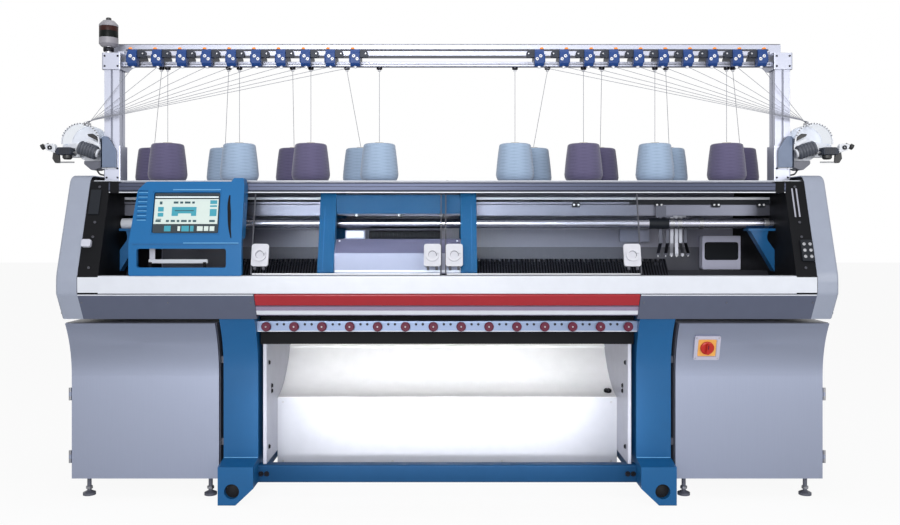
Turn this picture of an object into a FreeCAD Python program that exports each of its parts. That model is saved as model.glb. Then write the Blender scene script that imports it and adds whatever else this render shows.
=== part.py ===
"""Flat knitting machine, in millimetres: +Z up, +X to the right seen from the front, front faces -Y.

The origin is on the floor under the middle of the machine.
"""
import FreeCAD
import Part
import math
import os

from FreeCAD import Placement, Rotation, Vector

os.makedirs("parts", exist_ok=True)

X_AXIS = Vector(1, 0, 0)
Y_AXIS = Vector(0, 1, 0)
Z_AXIS = Vector(0, 0, 1)
ORIGIN = Vector(0, 0, 0)

# ---------------------------------------------------------------- driving sizes
# upper body
BODY_HALF = 1800.0          # half width over the end caps
BODY_DEPTH = 900.0
CAP_WIDTH = 100.0
CAP_WALL = 4.0
BODY_BOTTOM = 870.0         # lower edge of the caps and front panels
NOSE_BOTTOM = 992.0         # the front's upright nose runs from here
NOSE_TOP = 1075.0           # up to the lid's ledge
BODY_TOP = 1548.0
CHIN_SETBACK = 72.0         # how far the lower front leans back from the nose
BROW_SETBACK = 160.0        # how far the top front edge lies behind the nose
REAR_KNEE = 1466.0          # the rear cover leans in above this height
LID_HEM = 8.0
PANEL_DROP = 4.0            # upper edge of the lower front panels, down from the nose
FLANGE_FOOT = 40.0          # width of their inner flange at its foot
SILL_LIP = 6.0              # sill's lower face, behind the front panels' face
REAR_BRIM = 30.0
LOUVRE_ROWS = 7
LOUVRE_LENGTH = 260.0
LOUVRE_HEIGHT = 8.0
LOUVRE_PITCH = 26.0
LOUVRE_BOTTOM = 960.0
LOUVRE_SHARE = 0.667        # outer louvre blocks, as a share of the half width
SHEET = 3.0                 # folded sheet covers
SEAT = 0.3                  # gap between a cover and the frame that carries it

# frame
SIDE_WEB = 15.0             # cast side frame under each end cap
SIDE_RIM = 12.0
SIDE_WIDTH = 95.0
BEAM_BOTTOM = 880.0
BEAM_LEDGE = 992.0          # ledge that carries the guide rail
LEG_INNER = 905.0
LEG_WIDTH = 165.0
LEG_FRONT = -280.0          # front face of the straight part of a leg
LEG_BROW = 95.0             # how far a leg curves forward at its top
LEG_DEPTH = 120.0
LEG_BEND_BOTTOM = 620.0
FOOT_HEIGHT = 180.0
FOOT_TOE = 110.0            # how far the foot block stands out in front of its leg
FOOT_STEP = 17.0
TRANSPORT_HOLE_R = 35.0
TRANSPORT_HOLE_Z = 66.0
TRANSPORT_HOLE_WALL = 30.0  # between the hole and the leg's outer side
FOOT_CHAMFER_WIDTH = 85.0   # on the foot block's inner lower edge
FOOT_CHAMFER_HEIGHT = 80.0
INSTEP_HEIGHT = 50.0
INSTEP_INSET = 20.0         # from the leg's faces
HEAD_BAR_HEIGHT = 100.0
CROSSBEAM_BOTTOM = 77.0
CROSSBEAM_HEIGHT = 84.0
CROSSBEAM_DEPTH = 60.0
CROSSBEAM_WALL = 5.0

# needle beds
BED_GAP_Y = -50.0           # middle of the gap that the fabric leaves by
BED_GAP = 6.0
BED_APEX = 1141.0
BED_LENGTH = 2200.0
BED_WIDTH = 210.0           # measured down its 45 degree slope
BED_THICK = 22.0
COMB_PITCH = 25.0
COMB_SLOT = 9.0
COMB_DEPTH = 20.0
TRIM_REACH = 60.0           # cut that squares the bed's upper end at the gap
TRIM_DEPTH = 100.0

# carriage
RAIL_INSET = 190.0          # guide rail from the gap's middle plane
RAIL_WIDTH = 36.0
RAIL_HEIGHT = 30.0
RUN = 0.3                   # running gap of the shoes on the rails
CARRIAGE_X = -234.5
CARRIAGE_WIDTH = 597.0      # between the bow's side frames
BOW_POST = 76.0
BOW_TOP = 1500.0
BOW_ARM = 40.0
BOW_FOOT_Y = -372.0
BOW_FOOT_Z = 1085.0
BOW_SHOULDER_Y = -254.0
BOW_SHOULDER_Z = 1458.0
BOW_HEEL_Y = -200.0         # inner end of a side frame's foot
BOW_TOE_Y = -300.0
BOW_ARCH_Y = -282.0         # inner side of the frame over its foot
BOW_ARCH_RISE = 95.0
BOW_BOLT_PITCH = 205.0
BOW_BAR_BOTTOM = 1365.0
BOW_BAR_TOP = 1456.0
COVER_FRONT_Y = -340.0
COVER_TOP = 1242.0
COVER_KNEE = 1176.0
LABEL_INSET = 35.0          # box for a label on each cover, from the cover's left side
LABEL_SETBACK = 10.0
LABEL_WIDTH = 95.0
LABEL_DEPTH = 40.0
LABEL_HEIGHT = 42.0

# rails over the needle beds
TOP_RAIL_Y = -300.0
TOP_RAIL_BOTTOM = 1465.0
TOP_RAIL_HEIGHT = 47.0
TOP_RAIL_DEPTH = 40.0
YARN_BEAM_BOTTOM = 1411.0
YARN_BEAM_HEIGHT = 40.0
YARN_RAIL_PITCH = 60.0
YARN_RAIL_HEIGHT = 43.0
YARN_RAIL_WIDTH = 8.0
YARN_RAIL_NECK = 10.0
TUBE_R = 24.5
TUBE_Y = -150.0
TUBE_Z = 1318.0
BRACKET_REACH = 130.0
BRACKET_PLATE = 12.0
BRACKET_HALF = 38.0
BRACKET_WEB_HALF = 28.0
BRACKET_DROP = 210.0        # foot of the web under its plate

# yarn carriers
CARRIER_X = (1059.0, 1100.0, 1131.0, 1160.0, 1191.0, 1222.0)
CARRIER_WIDTH = 52.0
CARRIER_GRIP = 18.0
CARRIER_SOLE = 7.0          # thickness under the rail
CARRIER_CROWN = 5.0         # height over the rail's shoulder
CARRIER_ARM = 4.0
CARRIER_ARM_WIDTH = 16.0
TIP_PITCH = 8.0
TIP_Z = 1150.0

# sliding doors
DOOR_FOOT_Y = -405.0
DOOR_HEAD_Y = -300.0
DOOR_SHEET = 5.0
DOOR_SPANS = ((-915.0, -26.0), (-10.0, 905.0))
DOOR_GAP = 0.4
HANDLE_INSET = 43.0
HANDLE_WIDTH = 79.0
HANDLE_HEIGHT = 107.0
HANDLE_UP = 94.0            # centre of a handle above the door's foot
HANDLE_PLATE = 12.0
HANDLE_BOSS = 12.0
HANDLE_BOSS_R = 31.0
HANDLE_BORE_R = 19.0

# start bar and take-down
BAR_HALF = 887.0
BAR_GAP = 3.0
BAR_HEIGHT = 62.0
BAR_THICK = 18.0
BAR_DROP = 37.0             # centre of the bar, down the lower front from the nose
JOURNAL_R = 5.0
FIT = 0.05                  # radial clearance of journals, pins and shafts
TAKEDOWN_RAIL_BOTTOM = 800.0
TAKEDOWN_RAIL_HEIGHT = 54.0
TAKEDOWN_RAIL_Y = -300.0
TAKEDOWN_RAIL_DEPTH = 38.0
KNOB_COUNT = 14
KNOB_INSET = 45.0           # outermost knob from the leg
KNOB_R = 22.5
KNOB_LENGTH = 22.0
ROLLER_R = 28.0
ROLLER_NIP = 1.2
ROLLER_Z = 745.0
ROLLER_GROOVES = 12
ROLLER_GROOVE = 24.0        # width of a groove between two lands
ROLLER_STUB = 6.0           # how far a journal stands out of its cheek
ROLLER_JOURNAL_R = 12.0

# chute under the rollers
CHEEK_LEG_GAP = 20.0
CHEEK_THICK = 16.0
CHUTE_FOOT_Y = 14.0
CHUTE_FOOT_Z = 431.0
CHUTE_HEAD_Y = 361.0
CHUTE_HEAD_Z = 645.0
CHUTE_SAG = 45.0
CHUTE_PIN_R = 5.0
CHEEK_HEEL_Z = 500.0        # the cheek's rear edge leans back above this height
CHEEK_KNEE_Z = 600.0
CHEEK_MARGIN = 25.0         # behind the chute's pin
PANEL_BOTTOM = 80.0
PANEL_HEM = 20.0
LOCK_R = 20.0
LOCK_HEIGHT = 13.0
LOCK_INSET = 34.0           # from the cheek
LOCK_UP = 70.0

# cabinets
CABINET_LEG_GAP = 20.0      # open gap between a leg and its cabinet
CABINET_BOTTOM = 95.0
CABINET_TOP = 849.0
CABINET_BACK = 400.0
CABINET_WALL = 3.0
CABINET_GAP = 2.0
CABINET_FRONT = -282.0
CABINET_BROW = 76.0
CABINET_BEND_BOTTOM = 588.0
DOOR_THICK = 20.0
DOOR_SKIN = 2.0
DOOR_INSET = 2.0
HINGE_R = 7.0
HINGE_PIN_R = 3.0
HINGE_HEIGHTS = (200.0, 500.0)
KNUCKLE = 20.0
BRACKET_HEIGHTS = (265.0, 660.0)
FOOT_PAD_R = 30.0
FOOT_STEM_R = 10.0
SWITCH_INSET = 144.5        # from the cabinet's inner side
SWITCH_Z = 728.0
SWITCH_SIZE = 122.0
SWITCH_SPAN = 80.0          # height of the door's curve that the switch leans with
SWITCH_PLATE = 12.0
SWITCH_KNOB_R = 32.0
SWITCH_KNOB_LENGTH = 26.0
SWITCH_SHAFT_R = 6.0
SWITCH_RIM = 16.0
SWITCH_DISH = 6.0
RACK_INSET = 100.0          # electronics rack from the cabinet's sides
RACK_FRONT = -120.0
RACK_HEIGHT = 460.0
FIN_COUNT = 12
FIN_DEPTH = 50.0
FIN_THICK = 6.0

# monitor
MONITOR_INSET = 141.0       # from the left side frame
MONITOR_WIDTH = 519.0
MONITOR_LIP = 1226.0
MONITOR_TOP = 1512.0
MONITOR_LUG = 17.0
MONITOR_BROW = 65.0
MONITOR_FOOT = 24.0
WINDOW_MARGIN = 37.0
WINDOW_PILLAR = 34.0        # extra width of the frame on its right
WINDOW_BOTTOM = 1113.0
WINDOW_TOP = 1200.0
SCREEN_INSET = 102.0
SCREEN_WIDTH = 308.0
SCREEN_BOTTOM = 1272.0
SCREEN_TOP = 1467.0
SCREEN_RECESS = 12.0
SCREEN_THICK = 8.0
SCREEN_GAP = 3.0            # round the screen in its recess
VENT_ROWS = 7
VENT_PITCH = 22.0
VENT_BOTTOM = 110.0         # above the lip
VENT_LENGTH = 42.0

# yarn frame
POST_INSET = 140.5          # from the outside of the end cap
POST_Y = -100.0
POST_SIZE = 75.0
POST_TOP = 2162.0
SLEEVE_HEIGHT = 180.0
BEAM_INSET = 157.0
BEAM_FRONT_Y = 5.0
BEAM_DEPTH = 75.0
BEAM_LOW = 2178.0
BEAM_HEIGHT = 55.0
HEAD_BOTTOM = 2080.0        # casting at each post's head, which carries the beam and the unit rail
HEAD_MARGIN = 10.0
HEAD_ARM = 30.0             # width of the arm that reaches back to the beam
UNIT_RAIL_BOTTOM = 2098.0
UNIT_RAIL_HEIGHT = 26.0
UNIT_RAIL_DEPTH = 30.0
UNIT_COUNT = 10             # on each side
UNIT_FIRST_X = 452.0
UNIT_POST_GAP = 114.0       # outermost unit from the post's middle
UNIT_WIDTH = 47.0
UNIT_BOTTOM = 2090.0
UNIT_HEIGHT = 85.0
UNIT_DEPTH = 46.0
UNIT_CLAMP = 24.0
UNIT_CASE_LENGTH = 150.0    # dark case that runs back over the rail
UNIT_CASE_HEIGHT = 46.0
UNIT_CASE_WIDTH = 38.0
UNIT_LENS_R = 9.0
UNIT_LENS_HEIGHT = 13.0
EYELET_R = 11.0
EYELET_HEIGHT = 18.0
THREAD_R = 1.2
THREAD_REST = 0.3           # from a thread's end to what holds it
THREAD_SPREAD = 5.0         # between threads where they reach the side feeder

# cones on their table
TABLE_TOP = 1522.0
SKIRT = 10.0
TABLE_FRONT = -262.0
TABLE_BACK = 392.0
PEG_HEIGHT = 6.0
PEG_R = 40.0
CONE_HEIGHT = 187.0
CONE_BASE_R = 95.0
CONE_TOP_R = 77.0
TUBE_END = 7.0
CONE_FRONT_ROW = (0.188, 0.378, 0.576, 0.775)     # shares of the half width
CONE_BACK_ROW = (0.253, 0.449, 0.651, 0.859)
CONE_FRONT_Y = -100.0
CONE_BACK_Y = 150.0
BACK_ROW_EYELETS = (0.278, 0.4285, 0.606, 0.792)

# side feeders and lamp
FEEDER_TILT = 18.0
DRUM_INSET = 29.0
DRUM_Y = -152.0
DRUM_Z = 1680.0
DRUM_R = 35.0
DRUM_LENGTH = 88.0
DRUM_RIBS = 6
DRUM_SHAFT_R = 7.0
FEEDER_EYE_UP = 135.0       # where the threads meet the feeder, above the drum's middle
FEEDER_FRONT_Y = -192.0
FEEDER_BACK_Y = -60.0
FEEDER_PLATE = 14.0         # back plate behind the drum and motor
EYE_RAIL_HALF = 32.0        # half length of the rail that the threads enter by
DOME_R = 93.0
DOME_WALL = 3.0
DOME_OUT = 22.0             # the dome's middle from the drum's
DOME_UP = 35.0
MOTOR_OUT = 71.0            # motor's inner side from the drum's middle
MOTOR_WIDTH = 69.0
MOTOR_HEIGHT = 36.0
MOTOR_DEPTH = 70.0
TIP_KNOB_R = 14.0
POST_COVER = 11.0           # slate cover between the feeder and its post
STRUT_THICK = 5.0
STRUT_HALF = 12.0
DRUM_CHEEK = 9.0            # cheeks that hold the drum's shaft
DRUM_CHEEK_R = 22.0
DRUM_CHEEK_GAP = 3.0
FEEDER_REACH = 200.0        # past the outside of the end cap
LAMP_INSET = 110.0
LAMP_R = 46.0
LAMP_STEM = 56.0
LAMP_STEM_R = 18.0
LAMP_COLLAR_R = 32.0
LAMP_CROWN_R = 30.0
LAMP_TIP_R = 13.0
LAMP_TOP = 2345.0

# ---------------------------------------------------------------- worked out sizes
FRONT = -BODY_DEPTH / 2
BACK = BODY_DEPTH / 2
CAP_INNER = BODY_HALF - CAP_WIDTH
SIDE_INNER = CAP_INNER - SIDE_WIDTH
LEG_OUTER = LEG_INNER + LEG_WIDTH
LEG_REAR = -LEG_FRONT
RAIL_END = SIDE_INNER
CABINET_INNER = LEG_OUTER + CABINET_LEG_GAP
CHEEK_OUTER = LEG_INNER - CHEEK_LEG_GAP
CHEEK_INNER = CHEEK_OUTER - CHEEK_THICK
LOCK_X = CHEEK_INNER - LOCK_INSET
SWITCH_X = CABINET_INNER + SWITCH_INSET
MONITOR_LEFT = -(SIDE_INNER - MONITOR_INSET)
MONITOR_RIGHT = MONITOR_LEFT + MONITOR_WIDTH
SCREEN_LEFT = MONITOR_LEFT + SCREEN_INSET
SCREEN_RIGHT = SCREEN_LEFT + SCREEN_WIDTH
POST_X = BODY_HALF - POST_INSET
BEAM_HALF = BODY_HALF - BEAM_INSET
DRUM_X = BODY_HALF - DRUM_INSET
FEEDER_TIP = BODY_HALF + FEEDER_REACH
LAMP_X = -(BODY_HALF - LAMP_INSET)


# ---------------------------------------------------------------- helpers
STRAIGHT = 0.05             # sine of the smallest turn that a folded sheet is bent at


def rounded(points, place):
    """Closed wire through (u, v) or (u, v, radius) corners, each radius a tangent arc."""
    count = len(points)
    ends = []
    for i, point in enumerate(points):
        corner = Vector(point[0], point[1], 0)
        radius = point[2] if len(point) > 2 else 0.0
        if radius == 0.0:
            ends.append((corner, None, corner))
            continue
        back = Vector(*points[i - 1][:2], 0) - corner
        ahead = Vector(*points[(i + 1) % count][:2], 0) - corner
        back.normalize()
        ahead.normalize()
        half = back.getAngle(ahead) / 2
        reach = radius / math.tan(half)
        middle = back + ahead
        middle.normalize()
        nearest = corner + middle * (radius / math.sin(half) - radius)
        ends.append((corner + back * reach, nearest, corner + ahead * reach))
    edges = []
    for i, (start, nearest, end) in enumerate(ends):
        if nearest is not None:
            edges.append(Part.Arc(place(start), place(nearest), place(end)).toShape())
        following = ends[(i + 1) % count][0]
        if (following - end).Length > 1e-6:
            edges.append(Part.LineSegment(place(end), place(following)).toShape())
    return Part.Wire(edges)


def prism_yz(points, x0, x1):
    """Outline in the (y, z) plane, carried along X."""
    wire = rounded(points, lambda p: Vector(x0, p.x, p.y))
    return Part.Face(wire).extrude(Vector(x1 - x0, 0, 0))


def prism_xz(points, y0, y1):
    """Outline in the (x, z) plane, carried along Y."""
    wire = rounded(points, lambda p: Vector(p.x, y0, p.y))
    return Part.Face(wire).extrude(Vector(0, y1 - y0, 0))


def prism_xy(points, z0, z1):
    """Outline in the (x, y) plane, carried along Z."""
    wire = rounded(points, lambda p: Vector(p.x, p.y, z0))
    return Part.Face(wire).extrude(Vector(0, 0, z1 - z0))


def block(x0, x1, y0, y1, z0, z1):
    return Part.makeBox(x1 - x0, y1 - y0, z1 - z0, Vector(x0, y0, z0))


def folded(points, thickness, bend=0.0):
    """Outline of a sheet that lies on the left of an open run of points."""
    inner = []
    count = len(points)
    for i, (u, v) in enumerate(points):
        here = Vector(u, v, 0)
        before = here - Vector(*points[i - 1], 0) if i > 0 else None
        after = Vector(*points[i + 1], 0) - here if i < count - 1 else None
        before = before or after
        after = after or before
        before.normalize()
        after.normalize()
        left = Vector(-before.y - after.y, before.x + after.x, 0)
        left.normalize()
        stretch = thickness / (left.x * -after.y + left.y * after.x)
        turn = before.x * after.y - before.y * after.x
        inner.append((u + left.x * stretch, v + left.y * stretch, turn))

    def corner(u, v, turn, outside):
        if bend == 0.0 or abs(turn) < STRAIGHT:
            return (u, v)
        return (u, v, bend + thickness if outside else bend)

    outline = [corner(u, v, inner[i][2], inner[i][2] > 0) for i, (u, v) in enumerate(points)]
    outline += [corner(u, v, turn, turn < 0) for u, v, turn in reversed(inner)]
    return outline


def rectangle(u0, u1, v0, v1, radius=0.0):
    corners = ((u0, v0), (u1, v0), (u1, v1), (u0, v1))
    return [(u, v, radius) for u, v in corners]


def turned(profile, base, axis):
    """Revolve a (radius, height) profile about an axis through a base point."""
    points = [Vector(r, 0, h) for r, h in profile]
    points.append(points[0])
    solid = Part.Face(Part.makePolygon(points)).revolve(ORIGIN, Z_AXIS, 360)
    solid.Placement = Placement(base, Rotation(Z_AXIS, axis))
    return solid


def rod(start, end, radius):
    along = end - start
    return Part.makeCylinder(radius, along.Length, start, along)


def fuse(*shapes):
    solid = shapes[0]
    if len(shapes) > 1:
        solid = solid.fuse(list(shapes[1:]))
    return solid.removeSplitter()


def mirrored(shape, plane_y=None):
    """The same shape on the other side of the middle, or of a plane at one Y."""
    if plane_y is None:
        return shape.mirror(ORIGIN, X_AXIS)
    return shape.mirror(Vector(0, plane_y, 0), Y_AXIS)


def both_sides(shape):
    return [shape, mirrored(shape)]


def save(node, *shapes):
    solids = [solid for shape in shapes for solid in shape.Solids]
    result = solids[0] if len(solids) == 1 else Part.makeCompound(solids)
    result.exportStep("parts/" + node + ".step")
    print(node, len(solids), round(sum(s.Volume for s in solids) / 1e6, 3))


# ---------------------------------------------------------------- upper body
def body_points(inset=0.0):
    """Side view of the upper body, moved in from its outside by an inset."""
    lean = math.hypot(CHIN_SETBACK, NOSE_BOTTOM - BODY_BOTTOM)
    chin = inset * (lean / (NOSE_BOTTOM - BODY_BOTTOM))
    chin_slope = CHIN_SETBACK / (NOSE_BOTTOM - BODY_BOTTOM)
    brow_slope = BROW_SETBACK / (BODY_TOP - NOSE_TOP)
    brow = inset * math.hypot(1.0, brow_slope)
    nose_low = NOSE_BOTTOM + (chin - inset) / chin_slope
    nose_high = NOSE_TOP - (brow - inset) / brow_slope
    low = BODY_BOTTOM + inset
    high = BODY_TOP - inset
    return [
        (FRONT + chin + (NOSE_BOTTOM - low) * chin_slope, low),
        (FRONT + inset, nose_low, 30.0),
        (FRONT + inset, nose_high, 160.0),
        (FRONT + brow + (high - NOSE_TOP) * brow_slope, high, 55.0 - inset),
        (BACK - inset, high, 80.0 - inset),
        (BACK - inset, low, 25.0 - inset),
    ]


def end_cap():
    outside = prism_yz(body_points(), CAP_INNER, BODY_HALF)
    outer_edges = [e for e in outside.Edges if e.BoundBox.XMin > BODY_HALF - 0.01]
    outside = outside.makeFillet(12.0, outer_edges)
    inside = prism_yz(body_points(CAP_WALL), CAP_INNER - 1, BODY_HALF - CAP_WALL)
    return outside.cut(inside)


def side_points(inset):
    """Side view of a side frame: inside the covers, flat under the cone table."""
    points = body_points(inset)
    top = TABLE_TOP - SHEET - (inset - SHEET - SEAT)
    slope = BROW_SETBACK / (BODY_TOP - NOSE_TOP)
    front, high = points[3][:2]
    points[3] = (front - (high - top) * slope, top, 12.0)
    points[4:5] = [(TABLE_BACK - inset, top), (BACK - inset, REAR_KNEE - inset)]
    return points


def side_frame():
    inset = SHEET + SEAT
    solid = prism_yz(side_points(inset), SIDE_INNER, CAP_INNER)
    pocket = prism_yz(side_points(inset + SIDE_RIM), SIDE_INNER + SIDE_WEB, CAP_INNER + 1)
    return solid.cut(pocket)


cap = end_cap()
save("right_end_cap", cap)
save("left_end_cap", mirrored(cap))
save("side_frames", *both_sides(side_frame()))

LEDGE_BACK = DOOR_FOOT_Y + 12.0
lid_line = [(LEDGE_BACK, NOSE_TOP), (FRONT, NOSE_TOP), (FRONT, NOSE_BOTTOM), (FRONT + LID_HEM, NOSE_BOTTOM)]
lid = prism_yz(folded(lid_line, SHEET, 4.0), -SIDE_INNER, SIDE_INNER)
lid_end = block(SIDE_INNER, CAP_INNER, FRONT, FRONT + SHEET, NOSE_BOTTOM + 6, NOSE_TOP - 6)
save("front_lid", fuse(lid, *both_sides(lid_end)))


def chin_point(down, depth):
    """A point of the lower front: down its slope from the nose, and depth behind its face."""
    length = math.hypot(CHIN_SETBACK, NOSE_BOTTOM - BODY_BOTTOM)
    run_y = CHIN_SETBACK / length
    run_z = (NOSE_BOTTOM - BODY_BOTTOM) / length
    return (FRONT + down * run_y + depth * run_z, NOSE_BOTTOM - down * run_z + depth * run_y)


BAR_AXIS = Vector(0, *chin_point(BAR_DROP, BAR_THICK / 2))
PANEL_INNER = BAR_HALF + BAR_GAP
CHIN_LENGTH = math.hypot(CHIN_SETBACK, NOSE_BOTTOM - BODY_BOTTOM)

panel_line = [chin_point(PANEL_DROP, 0.0), chin_point(CHIN_LENGTH, 0.0)]
panel = prism_yz(folded(panel_line, SHEET), PANEL_INNER, CAP_INNER)
flange_points = panel_line + [(FRONT + CHIN_SETBACK + FLANGE_FOOT, BODY_BOTTOM), chin_point(50.0, 60.0),
                              chin_point(14.0, 30.0)]
flange = prism_yz(flange_points, PANEL_INNER, PANEL_INNER + SHEET)
journal_bore = rod(BAR_AXIS + X_AXIS * (PANEL_INNER - 1), BAR_AXIS + X_AXIS * (PANEL_INNER + SHEET + 1),
                   JOURNAL_R + FIT)
save("front_panels", *both_sides(fuse(panel, flange.cut(journal_bore))))

bar_top = BAR_DROP - BAR_HEIGHT / 2
bar_low = BAR_DROP + BAR_HEIGHT / 2
bar_corners = [chin_point(bar_top, 0.0), chin_point(bar_low, 0.0),
               chin_point(bar_low, BAR_THICK), chin_point(bar_top, BAR_THICK)]
bar_body = prism_yz([(y, z, 7.0) for y, z in bar_corners], -BAR_HALF, BAR_HALF)
journals = rod(BAR_AXIS - X_AXIS * (PANEL_INNER + SHEET + 4), BAR_AXIS + X_AXIS * (PANEL_INNER + SHEET + 4),
               JOURNAL_R)
save("start_stop_bar", fuse(bar_body, journals))

SILL_DEPTH = BAR_THICK + 10.0
sill_line = [(FRONT + SHEET, NOSE_BOTTOM + 50), (FRONT + SHEET, NOSE_BOTTOM + 20),
             chin_point(0.0, SILL_DEPTH), chin_point(bar_low + 6, SILL_DEPTH),
             chin_point(bar_low + 9, SILL_LIP), chin_point(CHIN_LENGTH - 23, SILL_LIP),
             (FRONT + CHIN_SETBACK + 24, BODY_BOTTOM + 14)]
save("front_sill", prism_yz(folded(sill_line, SHEET), -(PANEL_INNER - SEAT), PANEL_INNER - SEAT))

rear_foot = BODY_BOTTOM + 8
rear_line = [(BACK, rear_foot), (BACK, REAR_KNEE), (TABLE_BACK, TABLE_TOP)]
rear_sheet = prism_yz(folded(rear_line, SHEET), -CAP_INNER, CAP_INNER)
brim = block(-SIDE_INNER, SIDE_INNER, BACK - REAR_BRIM, BACK, rear_foot, rear_foot + SHEET)
rear_cover = fuse(rear_sheet, brim)
louvre_x = LOUVRE_SHARE * BODY_HALF
louvre_half = LOUVRE_LENGTH / 2
louvres = [block(x - louvre_half, x + louvre_half, BACK - 2 * SHEET, BACK + SHEET, z, z + LOUVRE_HEIGHT)
           for x in (-louvre_x, 0.0, louvre_x)
           for z in (LOUVRE_BOTTOM + LOUVRE_PITCH * i for i in range(LOUVRE_ROWS))]
save("rear_cover", rear_cover.cut(Part.makeCompound(louvres)))


# ---------------------------------------------------------------- leg frames and crossbeams
def leg_frame():
    """Welded frame: two columns joined at the head, each on its foot block."""
    brow = LEG_FRONT - LEG_BROW
    bend = BEAM_BOTTOM - LEG_BEND_BOTTOM
    radius = (bend * bend + LEG_BROW * LEG_BROW) / (2 * LEG_BROW)
    half = math.asin(bend / radius) / 2
    middle = (LEG_FRONT - radius * (1 - math.cos(half)), LEG_BEND_BOTTOM + radius * math.sin(half))
    start = Vector(LEG_INNER, LEG_FRONT, FOOT_HEIGHT)
    knee = Vector(LEG_INNER, LEG_FRONT, LEG_BEND_BOTTOM)
    head = Vector(LEG_INNER, brow, BEAM_BOTTOM)
    back = Vector(LEG_INNER, LEG_FRONT + LEG_DEPTH, BEAM_BOTTOM)
    base = Vector(LEG_INNER, LEG_FRONT + LEG_DEPTH, FOOT_HEIGHT)
    front_edges = [
        Part.LineSegment(start, knee).toShape(),
        Part.Arc(knee, Vector(LEG_INNER, *middle), head).toShape(),
        Part.LineSegment(head, back).toShape(),
        Part.LineSegment(back, base).toShape(),
        Part.LineSegment(base, start).toShape(),
    ]
    column = Part.Face(Part.Wire(front_edges)).extrude(Vector(LEG_WIDTH, 0, 0))
    rear = block(LEG_INNER, LEG_OUTER, LEG_REAR - LEG_DEPTH, LEG_REAR, FOOT_HEIGHT, BEAM_BOTTOM)
    head_bar = block(LEG_INNER, LEG_OUTER, LEG_FRONT + LEG_DEPTH, LEG_REAR - LEG_DEPTH,
                     BEAM_BOTTOM - HEAD_BAR_HEIGHT, BEAM_BOTTOM)
    foot_side = [(LEG_FRONT - FOOT_TOE, 0, 6.0), (-LEG_FRONT + FOOT_TOE, 0, 6.0),
                 (-LEG_FRONT + FOOT_TOE, FOOT_HEIGHT), (LEG_REAR, FOOT_HEIGHT + FOOT_STEP),
                 (LEG_FRONT, FOOT_HEIGHT + FOOT_STEP), (LEG_FRONT - FOOT_TOE, FOOT_HEIGHT)]
    foot = prism_yz(foot_side, LEG_INNER, LEG_OUTER)
    cut_corner = prism_xz([(LEG_INNER - 1, -1), (LEG_INNER + FOOT_CHAMFER_WIDTH, -1),
                           (LEG_INNER - 1, FOOT_CHAMFER_HEIGHT)],
                          LEG_FRONT - FOOT_TOE - 1, LEG_REAR + FOOT_TOE + 1)
    rise = INSTEP_HEIGHT
    instep_side = [(LEG_FRONT + INSTEP_INSET, -1), (LEG_REAR - INSTEP_INSET, -1), (LEG_REAR - rise, rise),
                   (LEG_FRONT + rise, rise)]
    instep = prism_yz(instep_side, LEG_INNER - 1, LEG_OUTER + 1)
    hole_x = LEG_OUTER - TRANSPORT_HOLE_R - TRANSPORT_HOLE_WALL
    hole_depth = FOOT_TOE + 20
    front_hole = rod(Vector(hole_x, LEG_FRONT - FOOT_TOE, TRANSPORT_HOLE_Z),
                     Vector(hole_x, LEG_FRONT - FOOT_TOE + hole_depth, TRANSPORT_HOLE_Z), TRANSPORT_HOLE_R)
    rear_hole = rod(Vector(hole_x, LEG_REAR + FOOT_TOE - hole_depth, TRANSPORT_HOLE_Z),
                    Vector(hole_x, LEG_REAR + FOOT_TOE, TRANSPORT_HOLE_Z), TRANSPORT_HOLE_R)
    frame = fuse(column, rear, head_bar, foot)
    return frame.cut([cut_corner, instep, front_hole, rear_hole])


leg = leg_frame()
save("right_leg_frame", leg)
save("left_leg_frame", mirrored(leg))


def crossbeam(front_y):
    back_y = front_y + CROSSBEAM_DEPTH
    top = CROSSBEAM_BOTTOM + CROSSBEAM_HEIGHT
    tube = prism_yz(rectangle(front_y, back_y, CROSSBEAM_BOTTOM, top, 8.0), -LEG_INNER, LEG_INNER)
    wall = CROSSBEAM_WALL
    hollow = prism_yz(rectangle(front_y + wall, back_y - wall, CROSSBEAM_BOTTOM + wall, top - wall, 3.0),
                      -LEG_INNER, LEG_INNER)
    return tube.cut(hollow)


save("crossbeams", crossbeam(LEG_FRONT), crossbeam(LEG_REAR - CROSSBEAM_DEPTH))

# ---------------------------------------------------------------- bed beam and needle beds
SLOPE_THICK = BED_THICK * math.sqrt(2)
BED_INNER_Y = BED_GAP_Y - BED_GAP / 2
BED_OUTER_Y = BED_INNER_Y - BED_WIDTH / math.sqrt(2)


def bed_height(y):
    """Top of the front needle bed at one Y."""
    return BED_APEX + (y - BED_INNER_Y)


RAIL_Y = BED_GAP_Y - RAIL_INSET
BEAM_FRONT = RAIL_Y - RAIL_WIDTH / 2 - 6
BEAM_SLOT = 60.0
BEAM_WALL = 18.0
slot_y = BED_GAP_Y - BEAM_SLOT / 2
seat_low = BED_OUTER_Y + SLOPE_THICK / 2
half_beam_points = [
    (BEAM_FRONT, BEAM_BOTTOM), (slot_y, BEAM_BOTTOM), (slot_y, bed_height(slot_y) - SLOPE_THICK),
    (seat_low, bed_height(seat_low) - SLOPE_THICK), (BED_OUTER_Y - 4, BEAM_LEDGE - 15),
    (BED_OUTER_Y - 4, BEAM_LEDGE), (BEAM_FRONT, BEAM_LEDGE),
]
half_beam = prism_yz(half_beam_points, -SIDE_INNER, SIDE_INNER)
core_front = BEAM_FRONT + BEAM_WALL
core_back = slot_y - BEAM_WALL
core_points = [(core_front, BEAM_BOTTOM + BEAM_WALL, 6.0), (core_back, BEAM_BOTTOM + BEAM_WALL, 6.0),
               (core_back, BEAM_LEDGE + 10, 6.0), (BEAM_FRONT + 80, BEAM_LEDGE - 40, 6.0),
               (core_front, BEAM_LEDGE - 40, 6.0)]
core = prism_yz(core_points, -SIDE_INNER, SIDE_INNER)
half_beam = half_beam.cut(core)
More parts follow.
